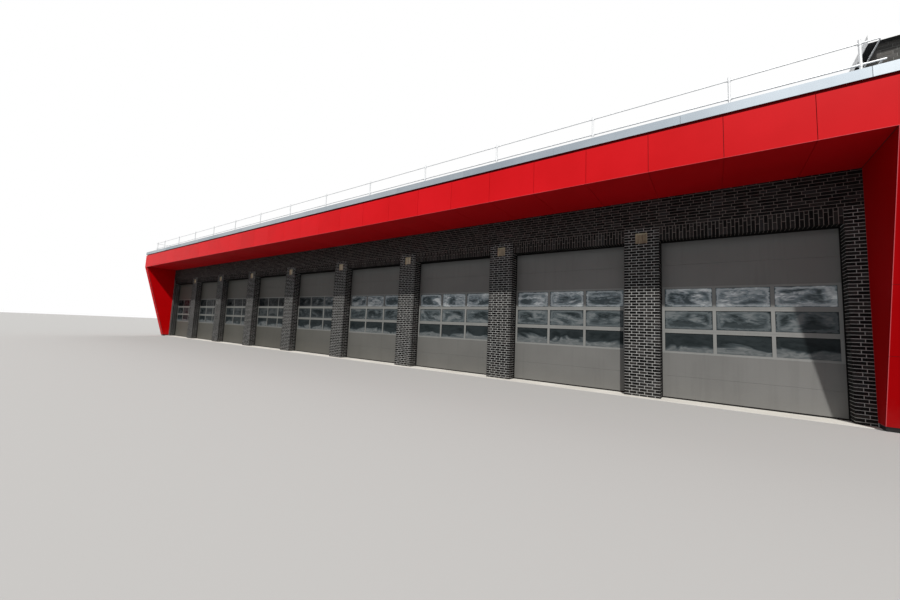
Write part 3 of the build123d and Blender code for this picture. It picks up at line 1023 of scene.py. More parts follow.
class Bricklayer:
    """Lays single bricks on the faces of the walls, in courses counted from the top of the soldier course."""

    def __init__(self, bond: Bond, seed: int) -> None:
        """Take the bond's sizes and a seed for the bricks' tones."""
        self.bond = bond
        self.chance = random.Random(seed)
        self.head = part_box("upper_front_wall")[0].z

    def tone(self) -> float:
        """Tone of one brick: most are near black, some brown or blue-grey."""
        dark = self.chance.random() < self.bond.dark_share
        low, spread = self.bond.dark_tones if dark else self.bond.pale_tones
        return low + spread * self.chance.random()

    def brick(self, pile: Pile, face: Face, patch: Patch, fine: bool = True) -> None:
        """Lay one brick, open at the back, where the mortar holds it.

        Args:
            pile: Where its faces go.
            face: The wall face.
            patch: The brick's rectangle on it.
            fine: Whether its front edges are worn round.
        """
        bond = self.bond
        (u0, u1), (v0, v1) = patch.run, patch.height
        if u1 - u0 < bond.least or v1 - v0 < bond.least:
            return
        sink = self.chance.random() * bond.unevenness
        edge = bond.chamfer if fine else 0.0
        rings = []
        for e, depth in ((0.0, bond.depth), (0.0, sink + edge), (edge, sink))[:3 if fine else 2]:
            outline = ((u0 + e, v0 + e), (u1 - e, v0 + e), (u1 - e, v1 - e), (u0 + e, v1 - e))
            rings.append(pile.ring(face.at(u, v, depth) for u, v in outline))
        for near, far in zip(rings, rings[1:]):
            pile.strip(near, far, patch.tone)
        pile.face(rings[-1], patch.tone)

    def courses(self, span: Span) -> Iterable[tuple[int, Span]]:
        """Courses that fill a height, counted up and down from the top of the soldier course.

        Args:
            span: Lowest and highest point to fill.

        Yields:
            The course's number and the heights of its bricks.
        """
        (low, high), head, course, half = span, self.head, self.bond.course, self.bond.joint / 2
        for number in range(math.floor((low - head) / course), math.ceil((high - head) / course)):
            bottom = max(head + number * course + half, low)
            top = min(head + (number + 1) * course - half, high)
            if top - bottom > self.bond.least_course:
                yield number, (bottom, top)

    def row(self, joints: Sequence[float], face: Face) -> Iterable[Span]:
        """Bricks of one course, which run to the very edge of a face where that is a corner.

        Args:
            joints: Middles of the upright joints.
            face: The wall face.

        Yields:
            Start and end of each brick.
        """
        half = self.bond.joint / 2
        lines = [0.0, *[joint for joint in joints if half < joint < face.length - half], face.length]
        for number, (start, end) in enumerate(zip(lines, lines[1:])):
            first, last = number == 0, number == len(lines) - 2
            yield start + (0.0 if first and face.free[0] else half), end - (0.0 if last and face.free[1] else half)

    def lay(
        self,
        pile: Pile,
        face: Face,
        joints: Callable[[int], Sequence[float]],
        fine: bool = True,
        hole: Optional[Patch] = None,
    ) -> None:
        """Lay a face course by course.

        Args:
            pile: Where the bricks go.
            face: The wall face, its rise counted from the ground.
            joints: What gives the middles of a course's upright joints by its number.
            fine: Whether the bricks' edges are worn round.
            hole: Opening that the bricks leave free.
        """
        for number, heights in self.courses(face.span):
            for run in self.row(joints(number), face):
                for part in Patch(run, heights, self.tone()).around(hole):
                    self.brick(pile, face, part, fine)

    def wall(self, pile: Pile, face: Face, fine: bool = False, shift: float = 0.0) -> None:
        """Lay a long wall in stretchers that shift by a quarter brick, with a few headers.

        Args:
            pile: Where the bricks go.
            face: The wall face, its rise counted from the ground.
            fine: Whether the bricks' edges are worn round.
            shift: Where the first stretcher joint stands.
        """
        bond, step = self.bond, self.bond.stretcher

        def joints(number: int) -> list[float]:
            """Draw the upright joints of one course."""
            place = shift + (number % 2) * step / 4 - step
            places = []
            while place < face.length:
                places.append(place)
                place += step / 2 if self.chance.random() < bond.header_share else step
                if self.chance.random() < bond.header_pair_share:
                    place += step / 2
            return [place for place in places if place > bond.least_joint]

        self.lay(pile, face, joints, fine)


def turned(joints: Sequence[float], length: float, turn: bool) -> Sequence[float]:
    """Upright joints of a course, counted from the other end where it is turned round."""
    return [length - joint for joint in reversed(joints)] if turn else joints


@dataclass
class FrontBrickwork:
    """Piers with their lamp niches, soldier courses and the wall over them."""

    finishes: Finishes
    bond: Bond = field(default_factory=Bond)
    niche_size: float = 0.150
    niche_depth: float = 0.045
    rim_width: float = 0.0085
    rim_thick: float = 0.0030
    upright: float = 0.040
    pier_joints: tuple[float, ...] = (0.0655, 0.1610, 0.2565, 0.3520)
    end_joints: Span = (0.1085, 0.0735)
    reveal_joints: Span = (0.1185, 0.0600)
    soldier_joints: Span = (0.0985, 0.0395)
    under_joints: Span = (0.060, 0.118)
    underside_painted_shade: float = 0.3
    door_shade: float = 0.055
    shade_gap: float = 0.0005

    def __post_init__(self) -> None:
        """Read the places of the front from the CAD nodes."""
        low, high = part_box("upper_front_wall")
        self.front, self.inside, self.head = low.y, high.y, low.z
        self.door_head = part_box("soldier_lintels")[0].z
        self.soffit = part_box("canopy_soffit")[1].z
        self.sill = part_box("niche_boards")[0].z
        self.layer = Bricklayer(self.bond, 41)
        self.wing_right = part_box("right_wing_wall")[0].x
        self.wing_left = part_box("left_wing_wall")[1].x

    def materials(self, canopy_shaded: bool = False) -> list[bpy.types.Material]:
        """Brick, mortar (darker as painted shade under the canopy where that is asked for), cream niche lining and
        a black strip of painted shade, in the order of the marks.
        """
        finishes = self.finishes
        mortar = finishes.mortar_with_painted_shade if canopy_shaded else finishes.mortar
        return [finishes.brick, mortar, finishes.cream, finishes.rubber]

    def build(self) -> None:
        """Make every piece of the front."""
        for number in range(1, DOORS + 2):
            self.build_pier(number)
        self.build_soldiers()
        self.build_upper_wall()
        round_edges(dress("niche_boards", self.finishes.board), 0.0012)
        self.build_niche_rims()

    def build_pier(self, number: int) -> None:
        """Make one pier with its bricks, mortar core and niche.

        Args:
            number: Number of the pier from the left, from 1.
        """
        name = f"pier_{number}"
        low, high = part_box(name)
        first, last = number == 1, number == DOORS + 1
        pile = Pile()
        self.core(pile, low, high, niche=not (first or last))
        self.pier_front(pile, number, (self.wing_left if first else low.x, self.wing_right if last else high.x))
        if not first:
            self.reveal(pile, low.x, -1)
        if not last:
            self.reveal(pile, high.x, 1)
        pile.piece(f"brick_{name}", Slot.BRICK, self.materials(), [name])

    def core(self, pile: Pile, low: Vector, high: Vector, niche: bool) -> None:
        """Mortar core of a pier, pushed back behind the bricks' faces.

        Args:
            pile: Where the faces go.
            low: The CAD pier's low corner.
            high: The CAD pier's high corner.
            niche: Whether the lamp niche is cut in it.
        """
        x0, x1 = low.x + self.bond.recess, high.x - self.bond.recess
        y0, y1 = self.front + self.bond.recess, self.inside
        if not niche:
            pile.block((x0, y0, low.z), (x1, y1, high.z), mark=1)
            return
        middle, half = (low.x + high.x) / 2, self.niche_size / 2
        xs = [x0, middle - half, middle + half, x1]
        zs = [low.z, self.sill, self.sill + self.niche_size, high.z]
        grid = pile.lattice(xs, y0, zs)
        for row in range(3):
            for column in range(3):
                if (row, column) != (1, 1):
                    pile.face(cell(grid, row, column), mark=1)
        mouth = cell(grid, 1, 1)
        rear = cell(pile.lattice(xs[1:3], self.front + self.niche_depth, zs[1:3]), 0, 0)
        for i in range(4):
            j = (i + 1) % 4
            pile.face((mouth[i], mouth[j], rear[j], rear[i]), mark=2 if i else 1)
        pile.face(rear, mark=1)
        back = cell(pile.lattice((x0, x1), y1, (low.z, high.z)), 0, 0)
        for corners in (
            back[::-1],
            [*grid[0][::-1], back[0], back[1]],
            [*grid[3], back[2], back[3]],
            [*[line[0] for line in grid], back[3], back[0]],
            [*[line[3] for line in grid[::-1]], back[1], back[2]],
        ):
            pile.face(corners, mark=1)

    def pier_front(self, pile: Pile, pier: int, span: Span) -> None:
        """Front bricks of a pier, whose bond is turned round from pier to pier.

        Args:
            pile: Where the bricks go.
            pier: Number of the pier.
            span: Left and right edge of what shows.
        """
        width = span[1] - span[0]
        face = Face(Vector((span[0], self.front, 0.0)), EAST, width, (0.0, self.head))
        niche = 1 < pier <= DOORS

        def joints(course: int) -> Sequence[float]:
            """Upright joints of one course."""
            if niche:
                return turned(self.pier_joints, width, (course + pier) % 2 == 1)
            return turned((self.end_joints[course % 2],), width, pier == 1)

        sides = ((width - self.niche_size) / 2, (width + self.niche_size) / 2)
        hole = Patch(sides, (self.sill, self.sill + self.niche_size)) if niche else None
        self.layer.lay(pile, face, joints, hole=hole)

    def reveal(self, pile: Pile, x: float, facing: int) -> None:
        """Side bricks of a doorway's reveal, up to the door head.

        Args:
            pile: Where the bricks go.
            x: Place of the reveal along the front.
            facing: 1 where it looks right and -1 where it looks left.
        """
        start = self.bond.depth
        length = self.inside - self.front - start
        origin = Vector((x, self.front + start if facing > 0 else self.inside, 0.0))

        def joints(course: int) -> Sequence[float]:
            """Upright joint of one course."""
            return turned((self.reveal_joints[course % 2] - start,), length, facing < 0)

        self.layer.lay(pile, Face(origin, NORTH * facing, length, (0.0, self.door_head)), joints)

    def build_niche_rims(self) -> None:
        """Make the thin cream strips along the top and the sides of the niche boards."""
        low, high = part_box("niche_boards")
        y0, y1, width = low.y - self.rim_thick, low.y, self.rim_width
        pile = Pile()
        for number in range(2, DOORS + 1):
            pier_low, pier_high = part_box(f"pier_{number}")
            middle = (pier_low.x + pier_high.x) / 2
            x0, x1 = middle - self.niche_size / 2, middle + self.niche_size / 2
            pile.block((x0, y0, high.z - width), (x1, y1, high.z))
            pile.block((x0, y0, low.z), (x0 + width, y1, high.z - width))
            pile.block((x1 - width, y0, low.z), (x1, y1, high.z - width))
        piece = pile.piece("niche_board_rims", Slot.BOARD, [self.finishes.cream])
        round_edges(piece, 0.0008, 1)

    def build_soldiers(self) -> None:
        """Make the soldier courses with the headers on their undersides."""
        bond, layer = self.bond, self.layer
        half = bond.joint / 2
        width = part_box("pier_2")[0].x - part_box("pier_1")[1].x
        count = round(width / self.upright)
        pitch = width / count
        top, deep = self.head - half, self.inside - self.front - bond.depth
        pile = Pile()
        for number in range(1, DOORS + 1):
            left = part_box(f"pier_{number}")[1].x
            right, base = left + width, self.door_head + bond.recess
            pile.block((left, self.front + bond.recess, base), (right, self.inside, self.head), mark=1)
            # Painted shade: a black strip under the soldier course next to the door head.
            near, far, shade = self.inside - self.door_shade, self.inside, base - self.shade_gap
            pile.quad((left, near, shade), (left, far, shade), (right, far, shade), (right, near, shade), mark=3)
            face = Face(Vector((left, self.front, 0.0)), EAST, width)
            under = Face(Vector((left, self.front + bond.depth, self.door_head)), EAST, width, rise=-NORTH)
            for place in range(count):
                run = (place * pitch + half, (place + 1) * pitch - half)
                joint = top - self.soldier_joints[place % 2]
                split = self.under_joints[place % 2]
                layer.brick(pile, face, Patch(run, (joint + half, top), layer.tone()))
                tone = layer.tone()
                layer.brick(pile, face, Patch(run, (self.door_head, joint - half), tone))
                # Painted shade: the headers on the underside take darker tones.
                layer.brick(pile, under, Patch(run, (-split, 0.0), tone * self.underside_painted_shade))
                rest = Patch(run, (-deep, -split - bond.joint), layer.tone() * self.underside_painted_shade)
                layer.brick(pile, under, rest)
        pile.piece("brick_soldier_courses", Slot.BRICK, self.materials(True), ["soldier_lintels"])

    def build_upper_wall(self) -> None:
        """Make the wall over the doorways, bricked as far up as the soffit."""
        low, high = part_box("upper_front_wall")
        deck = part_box("roof_deck")[0].z
        thick = self.inside - self.front
        y0, y1 = low.y + self.bond.recess, high.y
        x0, x1 = low.x + self.bond.recess, high.x - self.bond.recess
        outline = [
            (x0, low.z), (x1, low.z), (x1, high.z), (high.x - thick, high.z),
            (high.x - thick, deck), (low.x + thick, deck), (low.x + thick, high.z), (x0, high.z),
        ]
        pile = Pile()
        pile.loft([(x, y1, z) for x, z in outline], [(x, y0, z) for x, z in outline], mark=1)
        start, length = Vector((self.wing_left, low.y, 0.0)), self.wing_right - self.wing_left
        shift = (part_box(f"pier_{DOORS}")[1].x - self.wing_left) % self.bond.stretcher
        self.layer.wall(pile, Face(start, EAST, length, (self.head, self.soffit)), fine=True, shift=shift)
        pile.piece("brick_upper_wall", Slot.BRICK, self.materials(True), ["upper_front_wall"])


@dataclass
class OuterBrickwork:
    """Left gable, back walls and the side block's walls."""

    finishes: Finishes
    bond: Bond = field(default_factory=Bond)

    def build(self) -> None:
        """Make the cores and lay the bricks on their outer faces."""
        for wall, insets in (
            ("left_end_wall", ("x-",)),
            ("back_wall", ("x-", "y+")),
            ("block_front_wall", ("x-", "x+", "y-")),
            ("block_back_wall", ("x-", "x+", "y+")),
            ("block_left_wall", ("x-",)),
            ("block_right_wall", ("x+",)),
        ):
            self.core(wall, insets)
        dress("right_end_wall", self.finishes.plaster)
        layer = Bricklayer(self.bond, 73)
        front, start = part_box("upper_front_wall")[0].y, self.bond.depth
        block_low, block_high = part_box("block_front_wall")
        seam, block_front = block_low.x, block_low.y
        left, right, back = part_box("left_end_wall")[0].x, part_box("block_right_wall")[1].x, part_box("back_wall")[1].y
        eaves, top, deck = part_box("hall_coping")[0].z, block_high.z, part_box("roof_deck")[1].z
        for name, origin, along, length, span, free in (
            ("left_gable", (left, back), -NORTH, back - front, (0.0, eaves), (True, True)),
            ("hall_back", (seam, back), -EAST, seam - left - start, (0.0, eaves), (False, True)),
            ("block_back", (right - start, back), -EAST, right - start - seam, (0.0, top), (True, False)),
            ("block_side", (right, block_front), NORTH, back - block_front, (0.0, top), (True, True)),
            ("block_front", (seam, block_front), EAST, right - start - seam, (0.0, top), (False, True)),
            ("block_over_roof", (seam, back), -NORTH, back - block_front, (deck, top), (False, False)),
            ("front_wall_end", (seam, front), NORTH, block_front - front, (0.0, eaves), (True, False)),
        ):
            pile = Pile()
            layer.wall(pile, Face(Vector((*origin, 0.0)), along, length, span, free))
            # The side block's bricks are paler: partly dust, partly painted light.
            brick = self.finishes.dusty_brick_painted_light if name.startswith("block") else self.finishes.brick
            pile.piece(f"brick_{name}", Slot.BRICK, [brick])

    def core(self, name: str, insets: Sequence[str]) -> None:
        """Mortar core that stands for a CAD wall, pushed back where it shows.

        Args:
            name: The CAD wall.
            insets: Sides that are pushed back, such as "x-" for the left one.
        """
        low, high = (list(corner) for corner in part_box(name))
        for axis, side in insets:
            index = "xyz".index(axis)
            if side == "+":
                high[index] -= self.bond.recess
            else:
                low[index] += self.bond.recess
        pile = Pile()
        pile.block(low, high)
        mortar = self.finishes.dusty_mortar if name.startswith("block") else self.finishes.mortar
        pile.piece(f"mortar_{name}", Slot.BRICK, [mortar], [name])


@dataclass
class SectionalDoors:
    """Overhead doors with solid and glazed sections, their seals and thresholds."""

    finishes: Finishes
    sizes: DoorSizes = field(default_factory=DoorSizes)
    joint_depth: float = 0.003
    joint_cover: float = 0.002

    def __post_init__(self) -> None:
        """Read the leaf's planes and the sections' heights from the CAD nodes."""
        low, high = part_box("door_1")
        self.face, self.rear, self.bottom, self.top = low.y, high.y, low.z, high.z
        self.section = self.sizes.section()
        self.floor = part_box("door_glazing")[0].z - self.sizes.rail - self.sizes.first_glazed * self.section

    def build(self) -> None:
        """Make each door and dress the glass, seals and thresholds."""
        for number in range(1, DOORS + 1):
            self.build_door(number)
        dress("door_glazing", self.finishes.glass)
        dress("door_bottom_seals", self.finishes.rubber)
        round_edges(dress("door_frame_seals", self.finishes.rubber), 0.0015)
        round_edges(dress("door_thresholds", self.finishes.threshold), 0.0020)

    def joint(self, number: int) -> float:
        """Height of the joint under a section, counted from 0."""
        return self.floor + number * self.section

    def build_door(self, number: int) -> None:
        """Make one door from its sections.

        Args:
            number: Number of the door from the left, from 1.
        """
        sizes = self.sizes
        low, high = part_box(f"door_{number}")
        leaf, frames = Pile(), Pile()
        for section in range(sizes.sections):
            bottom = self.joint(section) + sizes.gap / 2 if section else self.bottom
            top = self.top if section == sizes.sections - 1 else self.joint(section + 1) - sizes.gap / 2
            if sizes.first_glazed <= section < sizes.first_glazed + sizes.glazed:
                self.glazed_section(frames, (low.x, high.x), (bottom, top))
            else:
                self.solid_section(leaf, (low.x, high.x), (bottom, top))
        for section in range(1, sizes.sections):
            line = self.joint(section)
            near = (low.x, self.face + self.joint_depth, line - sizes.gap)
            leaf.block(near, (high.x, self.rear - self.joint_cover, line + sizes.gap))
        leaf.piece(f"door_{number}_sections", Slot.DOOR, [self.finishes.door], [f"door_{number}"])
        materials = [self.finishes.frame, self.finishes.rubber]
        frames.piece(f"door_{number}_window_frames", Slot.DOOR, materials)

    def solid_section(self, pile: Pile, run: Span, rise: Span) -> None:
        """Insulated section with softly folded edges at its joints.

        Args:
            pile: Where the faces go.
            run: Left and right edge.
            rise: Bottom and top.
        """
        (z0, z1), face = rise, self.face
        back, turn = self.sizes.fold_back, self.sizes.fold_turn
        profile = [
            (face + back, z0), (self.rear, z0), (self.rear, z1), (face + back, z1),
            (face + turn, z1 - turn), (face, z1 - back), (face, z0 + back), (face + turn, z0 + turn),
        ]
        pile.prism(profile, run)

    def glazed_section(self, pile: Pile, run: Span, rise: Span) -> None:
        """Aluminium frame with an opening for each pane and a dark gasket in it.

        Args:
            pile: Where the faces go.
            run: Left and right edge.
            rise: Bottom and top.
        """
        sizes = self.sizes
        (x0, x1), (z0, z1) = run, rise
        clear = sizes.pane(x1 - x0)
        starts = [x0 + sizes.overlap + sizes.stile + pane * (clear + sizes.mullion) for pane in range(sizes.panes)]
        xs = [x0, *[x for start in starts for x in (start, start + clear)], x1]
        middle, half = (z0 + z1) / 2, self.section / 2 - sizes.rail
        zs = [z0, middle - half, middle + half, z1]
        front, back = pile.lattice(xs, self.face, zs), pile.lattice(xs, self.rear, zs)
        for row in range(3):
            for column in range(len(xs) - 1):
                near, far = cell(front, row, column), cell(back, row, column)
                if row == 1 and column % 2 == 1:
                    lip = cell(pile.lattice(xs[column:column + 2], self.face + sizes.lip, zs[1:3]), 0, 0)
                    pile.strip(near, lip)
                    pile.strip(lip, far, mark=1)
                else:
                    pile.face(near)
                    pile.face(far[::-1])
        pile.strip(rim(back), rim(front))


@dataclass
class Canopy:
    """Red frame over and beside the doorways, with edge trims in a paler red that paint highlights on the folded
    edges.
    """

    finishes: Finishes
    trim: float = 0.004
    proud: float = 0.0004
    drip: float = 0.0006
    drip_width: float = 0.0064
    wing_foot: float = 0.189
    wing_lift: float = 0.050
    front_panel: float = 0.012
    shadow_gap: float = 0.014
    sheet: float = 0.008
    panel_joints: Span = (0.748, 1.421)
    panel_gap: float = 0.003

    def build(self) -> None:
        """Dress the cladding and add the wing panels and the folded edge strips."""
        for node in ("canopy_fascia", "canopy_cheeks"):
            round_edges(dress(node, self.finishes.red), 0.0010)
        dress("canopy_soffit", self.finishes.red)
        for side in Side:
            self.build_wing(side)
        dress("canopy_box", self.finishes.steel)
        dress("roof_upstand", self.finishes.red_painted_shade)
        self.build_drip_edge()

    def build_wing(self, side: Side) -> None:
        """Raked wing wall: sheets on a dark frame, a shadow gap and a jointed front panel over a recessed foot,
        with paler edge strips as painted highlights.

        Args:
            side: End of the front that it stands at.
        """
        node = f"{side.value}_wing_wall"
        low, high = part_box(node)
        x0, x1, wall, top, foot = low.x, high.x, high.y, high.z, self.wing_lift
        reach = wall - low.y - self.wing_foot
        proud, trim, sheet = self.proud, self.trim, self.sheet

        def band(near: float, far: float, z0: float, z1: float) -> list[Span]:
            """Outline between two depths behind the raked front, or as far as the wall where far is 0."""
            rake = [wall - self.wing_foot - reach * z / top for z in (z0, z1)]
            rear = [edge + far if far else wall for edge in rake]
            return [(rake[0] + near, z0), (rear[0], z0), (rear[1], z1), (rake[1] + near, z1)]

        pile = Pile()
        pile.prism(band(sheet, 0.0, 0.0, top), (x0 + sheet, x1 - sheet), 2)
        behind = self.front_panel + self.shadow_gap
        for start, end in ((x0, x0 + sheet), (x1 - sheet, x1)):
            pile.prism(band(behind, 0.0, foot + trim, top), (start, end))
            # Paler strips at the foot and along the wall edge are painted highlights.
            pile.prism(band(behind, 0.0, foot, foot + trim), (start, end), 1)
            edge = [(wall - trim, foot), (wall, foot), (wall, top), (wall - trim, top)]
            pile.prism(edge, (start - proud, end + proud), 1)
        half = self.panel_gap / 2
        lines = [foot - half, *self.panel_joints, top + half]
        for under, over in zip(lines, lines[1:]):
            z0, z1 = under + half, over - half
            pile.prism(band(0.0, self.front_panel, z0, z1), (x0, x1))
            # Paler strips along the front panel's side edges are painted highlights.
            for run in ((x0 - proud, x0 + trim), (x1 - trim, x1 + proud)):
                pile.prism(band(-proud, trim, z0, z1), run, 1)
        inner = (x1, x1 + trim) if side is Side.LEFT else (x0 - trim, x0)
        corner = [(low.y + trim, top - trim), (wall, top - trim), (wall, top), (low.y + trim, top)]
        pile.prism(corner, inner, 2)
        finishes = self.finishes
        materials = [finishes.wing_reds_with_painted_shade[side], finishes.wing_highlight_trim, finishes.steel]
        pile.piece(f"{side.value}_wing_panels", Slot.RED, materials, [node])

    def build_drip_edge(self) -> None:
        """Folded lower edge of the fascia, in a paler red that paints its highlight as a thin line."""
        low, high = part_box("canopy_fascia")
        y0, z0 = low.y - self.drip, low.z - self.drip
        pile = Pile()
        pile.block((low.x, y0, z0), (high.x, y0 + self.drip_width, z0 + self.trim))
        pile.piece("fascia_drip_edge", Slot.RED, [self.finishes.red_trim])


@dataclass(frozen=True)
class EdgeLine:
    """Outer line of one side of the roof: where it starts, its length, its directions and its mitres."""

    start: Vector
    run: Vector
    inward: Vector
    length: float
    mitres: Ends

    def at(self, station: float, depth: float, height: float) -> Vector:
        """Point at a station along the line, inward from it by a depth."""
        return self.start + self.inward * depth + UP * height + self.run * station

    def loft(self, pile: Pile, near: Sequence[Vector], far: Sequence[Vector]) -> None:
        """Add a solid between two cross-sections, turned so that its faces look outward."""
        step = 1 if self.run.cross(self.inward).z < 0 else -1
        pile.loft(near[::step], far[::step])


@dataclass
class RoofEdge:
    """Folded coping in lengths with butt straps, and the felt roof inside it."""

    finishes: Finishes
    length: float = 1.5
    gap: float = 0.003
    overhang: float = 0.008
    wall: float = 0.182
    sheet: float = 0.003
    fold: float = 1.6
    fall: float = 0.006
    leg: float = 0.054
    first_joint: float = 0.355
    strap_half: float = 0.030
    strap_foot: float = 0.002
    strap_leg: float = 0.048
    seam_pitch: float = 0.5
    seam_end: float = 0.3
    seam_lap: float = 0.05
    seam_heights: tuple[float, float, float] = (-0.001, 0.00064, 0.0016)
    seam_margin: float = 0.02
    seam_wander: float = 0.003
    seam_steps: int = 14

    def __post_init__(self) -> None:
        """Read the roof's corners from the CAD nodes."""
        self.low, self.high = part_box("hall_coping")
        self.inner = self.wall + 2 * self.overhang

    def build(self) -> None:
        """Make the coping and the straps, and dress the roof with its seams."""
        coping, straps = Pile(), Pile()
        x0, x1, y0, y1 = self.low.x, self.high.x, self.low.y, self.high.y
        block_front, block_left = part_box("block_front_wall")[0].y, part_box("block_left_wall")[0].x
        for start, end, inward, mitres in (
            ((x1, block_front), (x1, y0), -EAST, (False, True)),
            ((x1, y0), (x0, y0), NORTH, (True, True)),
            ((x0, y0), (x0, y1), EAST, (True, True)),
            ((x0, y1), (block_left, y1), -NORTH, (True, False)),
        ):
            origin = Vector((*start, 0.0))
            way = Vector((*end, 0.0)) - origin
            self.build_side(coping, straps, EdgeLine(origin, way.normalized(), inward, way.length, mitres))
        round_edges(coping.piece("coping_lengths", Slot.COPING, [self.finishes.coping], ["hall_coping"]), 0.0014)
        straps.piece("coping_butt_straps", Slot.COPING, [self.finishes.strap])
        dress("roof_deck", self.finishes.felt)
        self.build_seams()

    def section(self) -> list[Span]:
        """Corner points of the folded sheet as distance inward from the outer face and height."""
        top, foot, inner, t = self.high.z, self.low.z, self.inner, self.sheet
        drop = top - self.fall
        return [
            (0.0, foot), (0.0, top), (inner, drop), (inner, drop - self.leg), (inner - t, drop - self.leg),
            (inner - t, drop - t * self.fold), (t, top - t * self.fold), (t, foot),
        ]

    def build_side(self, coping: Pile, straps: Pile, line: EdgeLine) -> None:
        """Make the lengths of one side.

        Args:
            coping: Where the sheets go.
            straps: Where the straps behind the joints go.
            line: Outer line of the side.
        """
        stations = [0.0]
        place = self.first_joint
        while place < line.length - self.length / 4:
            stations.append(place)
            place += self.length
        stations.append(line.length)
        for number, (start, end) in enumerate(zip(stations, stations[1:])):
            first, last = number == 0, number == len(stations) - 2
            near_gap, far_gap = (0.0 if free else self.gap / 2 for free in (first, last))
            near, far = [], []
            for depth, height in self.section():
                near.append(line.at(start + (depth if first and line.mitres[0] else near_gap), depth, height))
                far.append(line.at(end - (depth if last and line.mitres[1] else far_gap), depth, height))
            line.loft(coping, near, far)
            if not last:
                self.strap(straps, line, end)

    def strap(self, straps: Pile, line: EdgeLine, station: float) -> None:
        """Dark strap behind a butt joint.

        Args:
            straps: Where the faces go.
            line: Outer line of the side.
            station: Place of the joint.
        """
        t, foot = self.sheet, self.low.z + self.strap_foot
        inner, top = self.inner - t, self.high.z - t * self.fold
        drop = top - self.fall
        corners = [
            (t, foot), (t, top), (inner, drop), (inner, drop - self.strap_leg), (inner - t, drop - self.strap_leg),
            (inner - t, drop - t), (2 * t, top - t), (2 * t, foot),
        ]
        near, far = (
            [line.at(station + offset, depth, height) for depth, height in corners]
            for offset in (-self.strap_half, self.strap_half)
        )
        line.loft(straps, near, far)

    def build_seams(self) -> None:
        """Welded overlaps of the roofing felt, a little ragged."""
        low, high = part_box("roof_deck")
        seams = Pile()
        base, outer, upper = (high.z + height for height in self.seam_heights)
        first, last, wander = low.y + self.seam_margin, high.y - self.seam_margin, self.seam_wander
        x = low.x + self.seam_pitch
        while x < high.x - self.seam_end:
            ragged = random.Random(int(x * 1000))
            points = [
                (x + ragged.uniform(-wander, wander), first + (last - first) * k / self.seam_steps)
                for k in range(self.seam_steps + 1)
            ]
            for (xa, ya), (xb, yb) in zip(points, points[1:]):
                lap = self.seam_lap
                seams.quad((xa, ya, upper), (xa + lap, ya, outer), (xb + lap, yb, outer), (xb, yb, upper))
                seams.quad((xa, ya, base), (xa, ya, upper), (xb, yb, upper), (xb, yb, base))
            x += self.seam_pitch
        seams.piece("roof_felt_seams", Slot.CONCRETE, [self.finishes.felt])


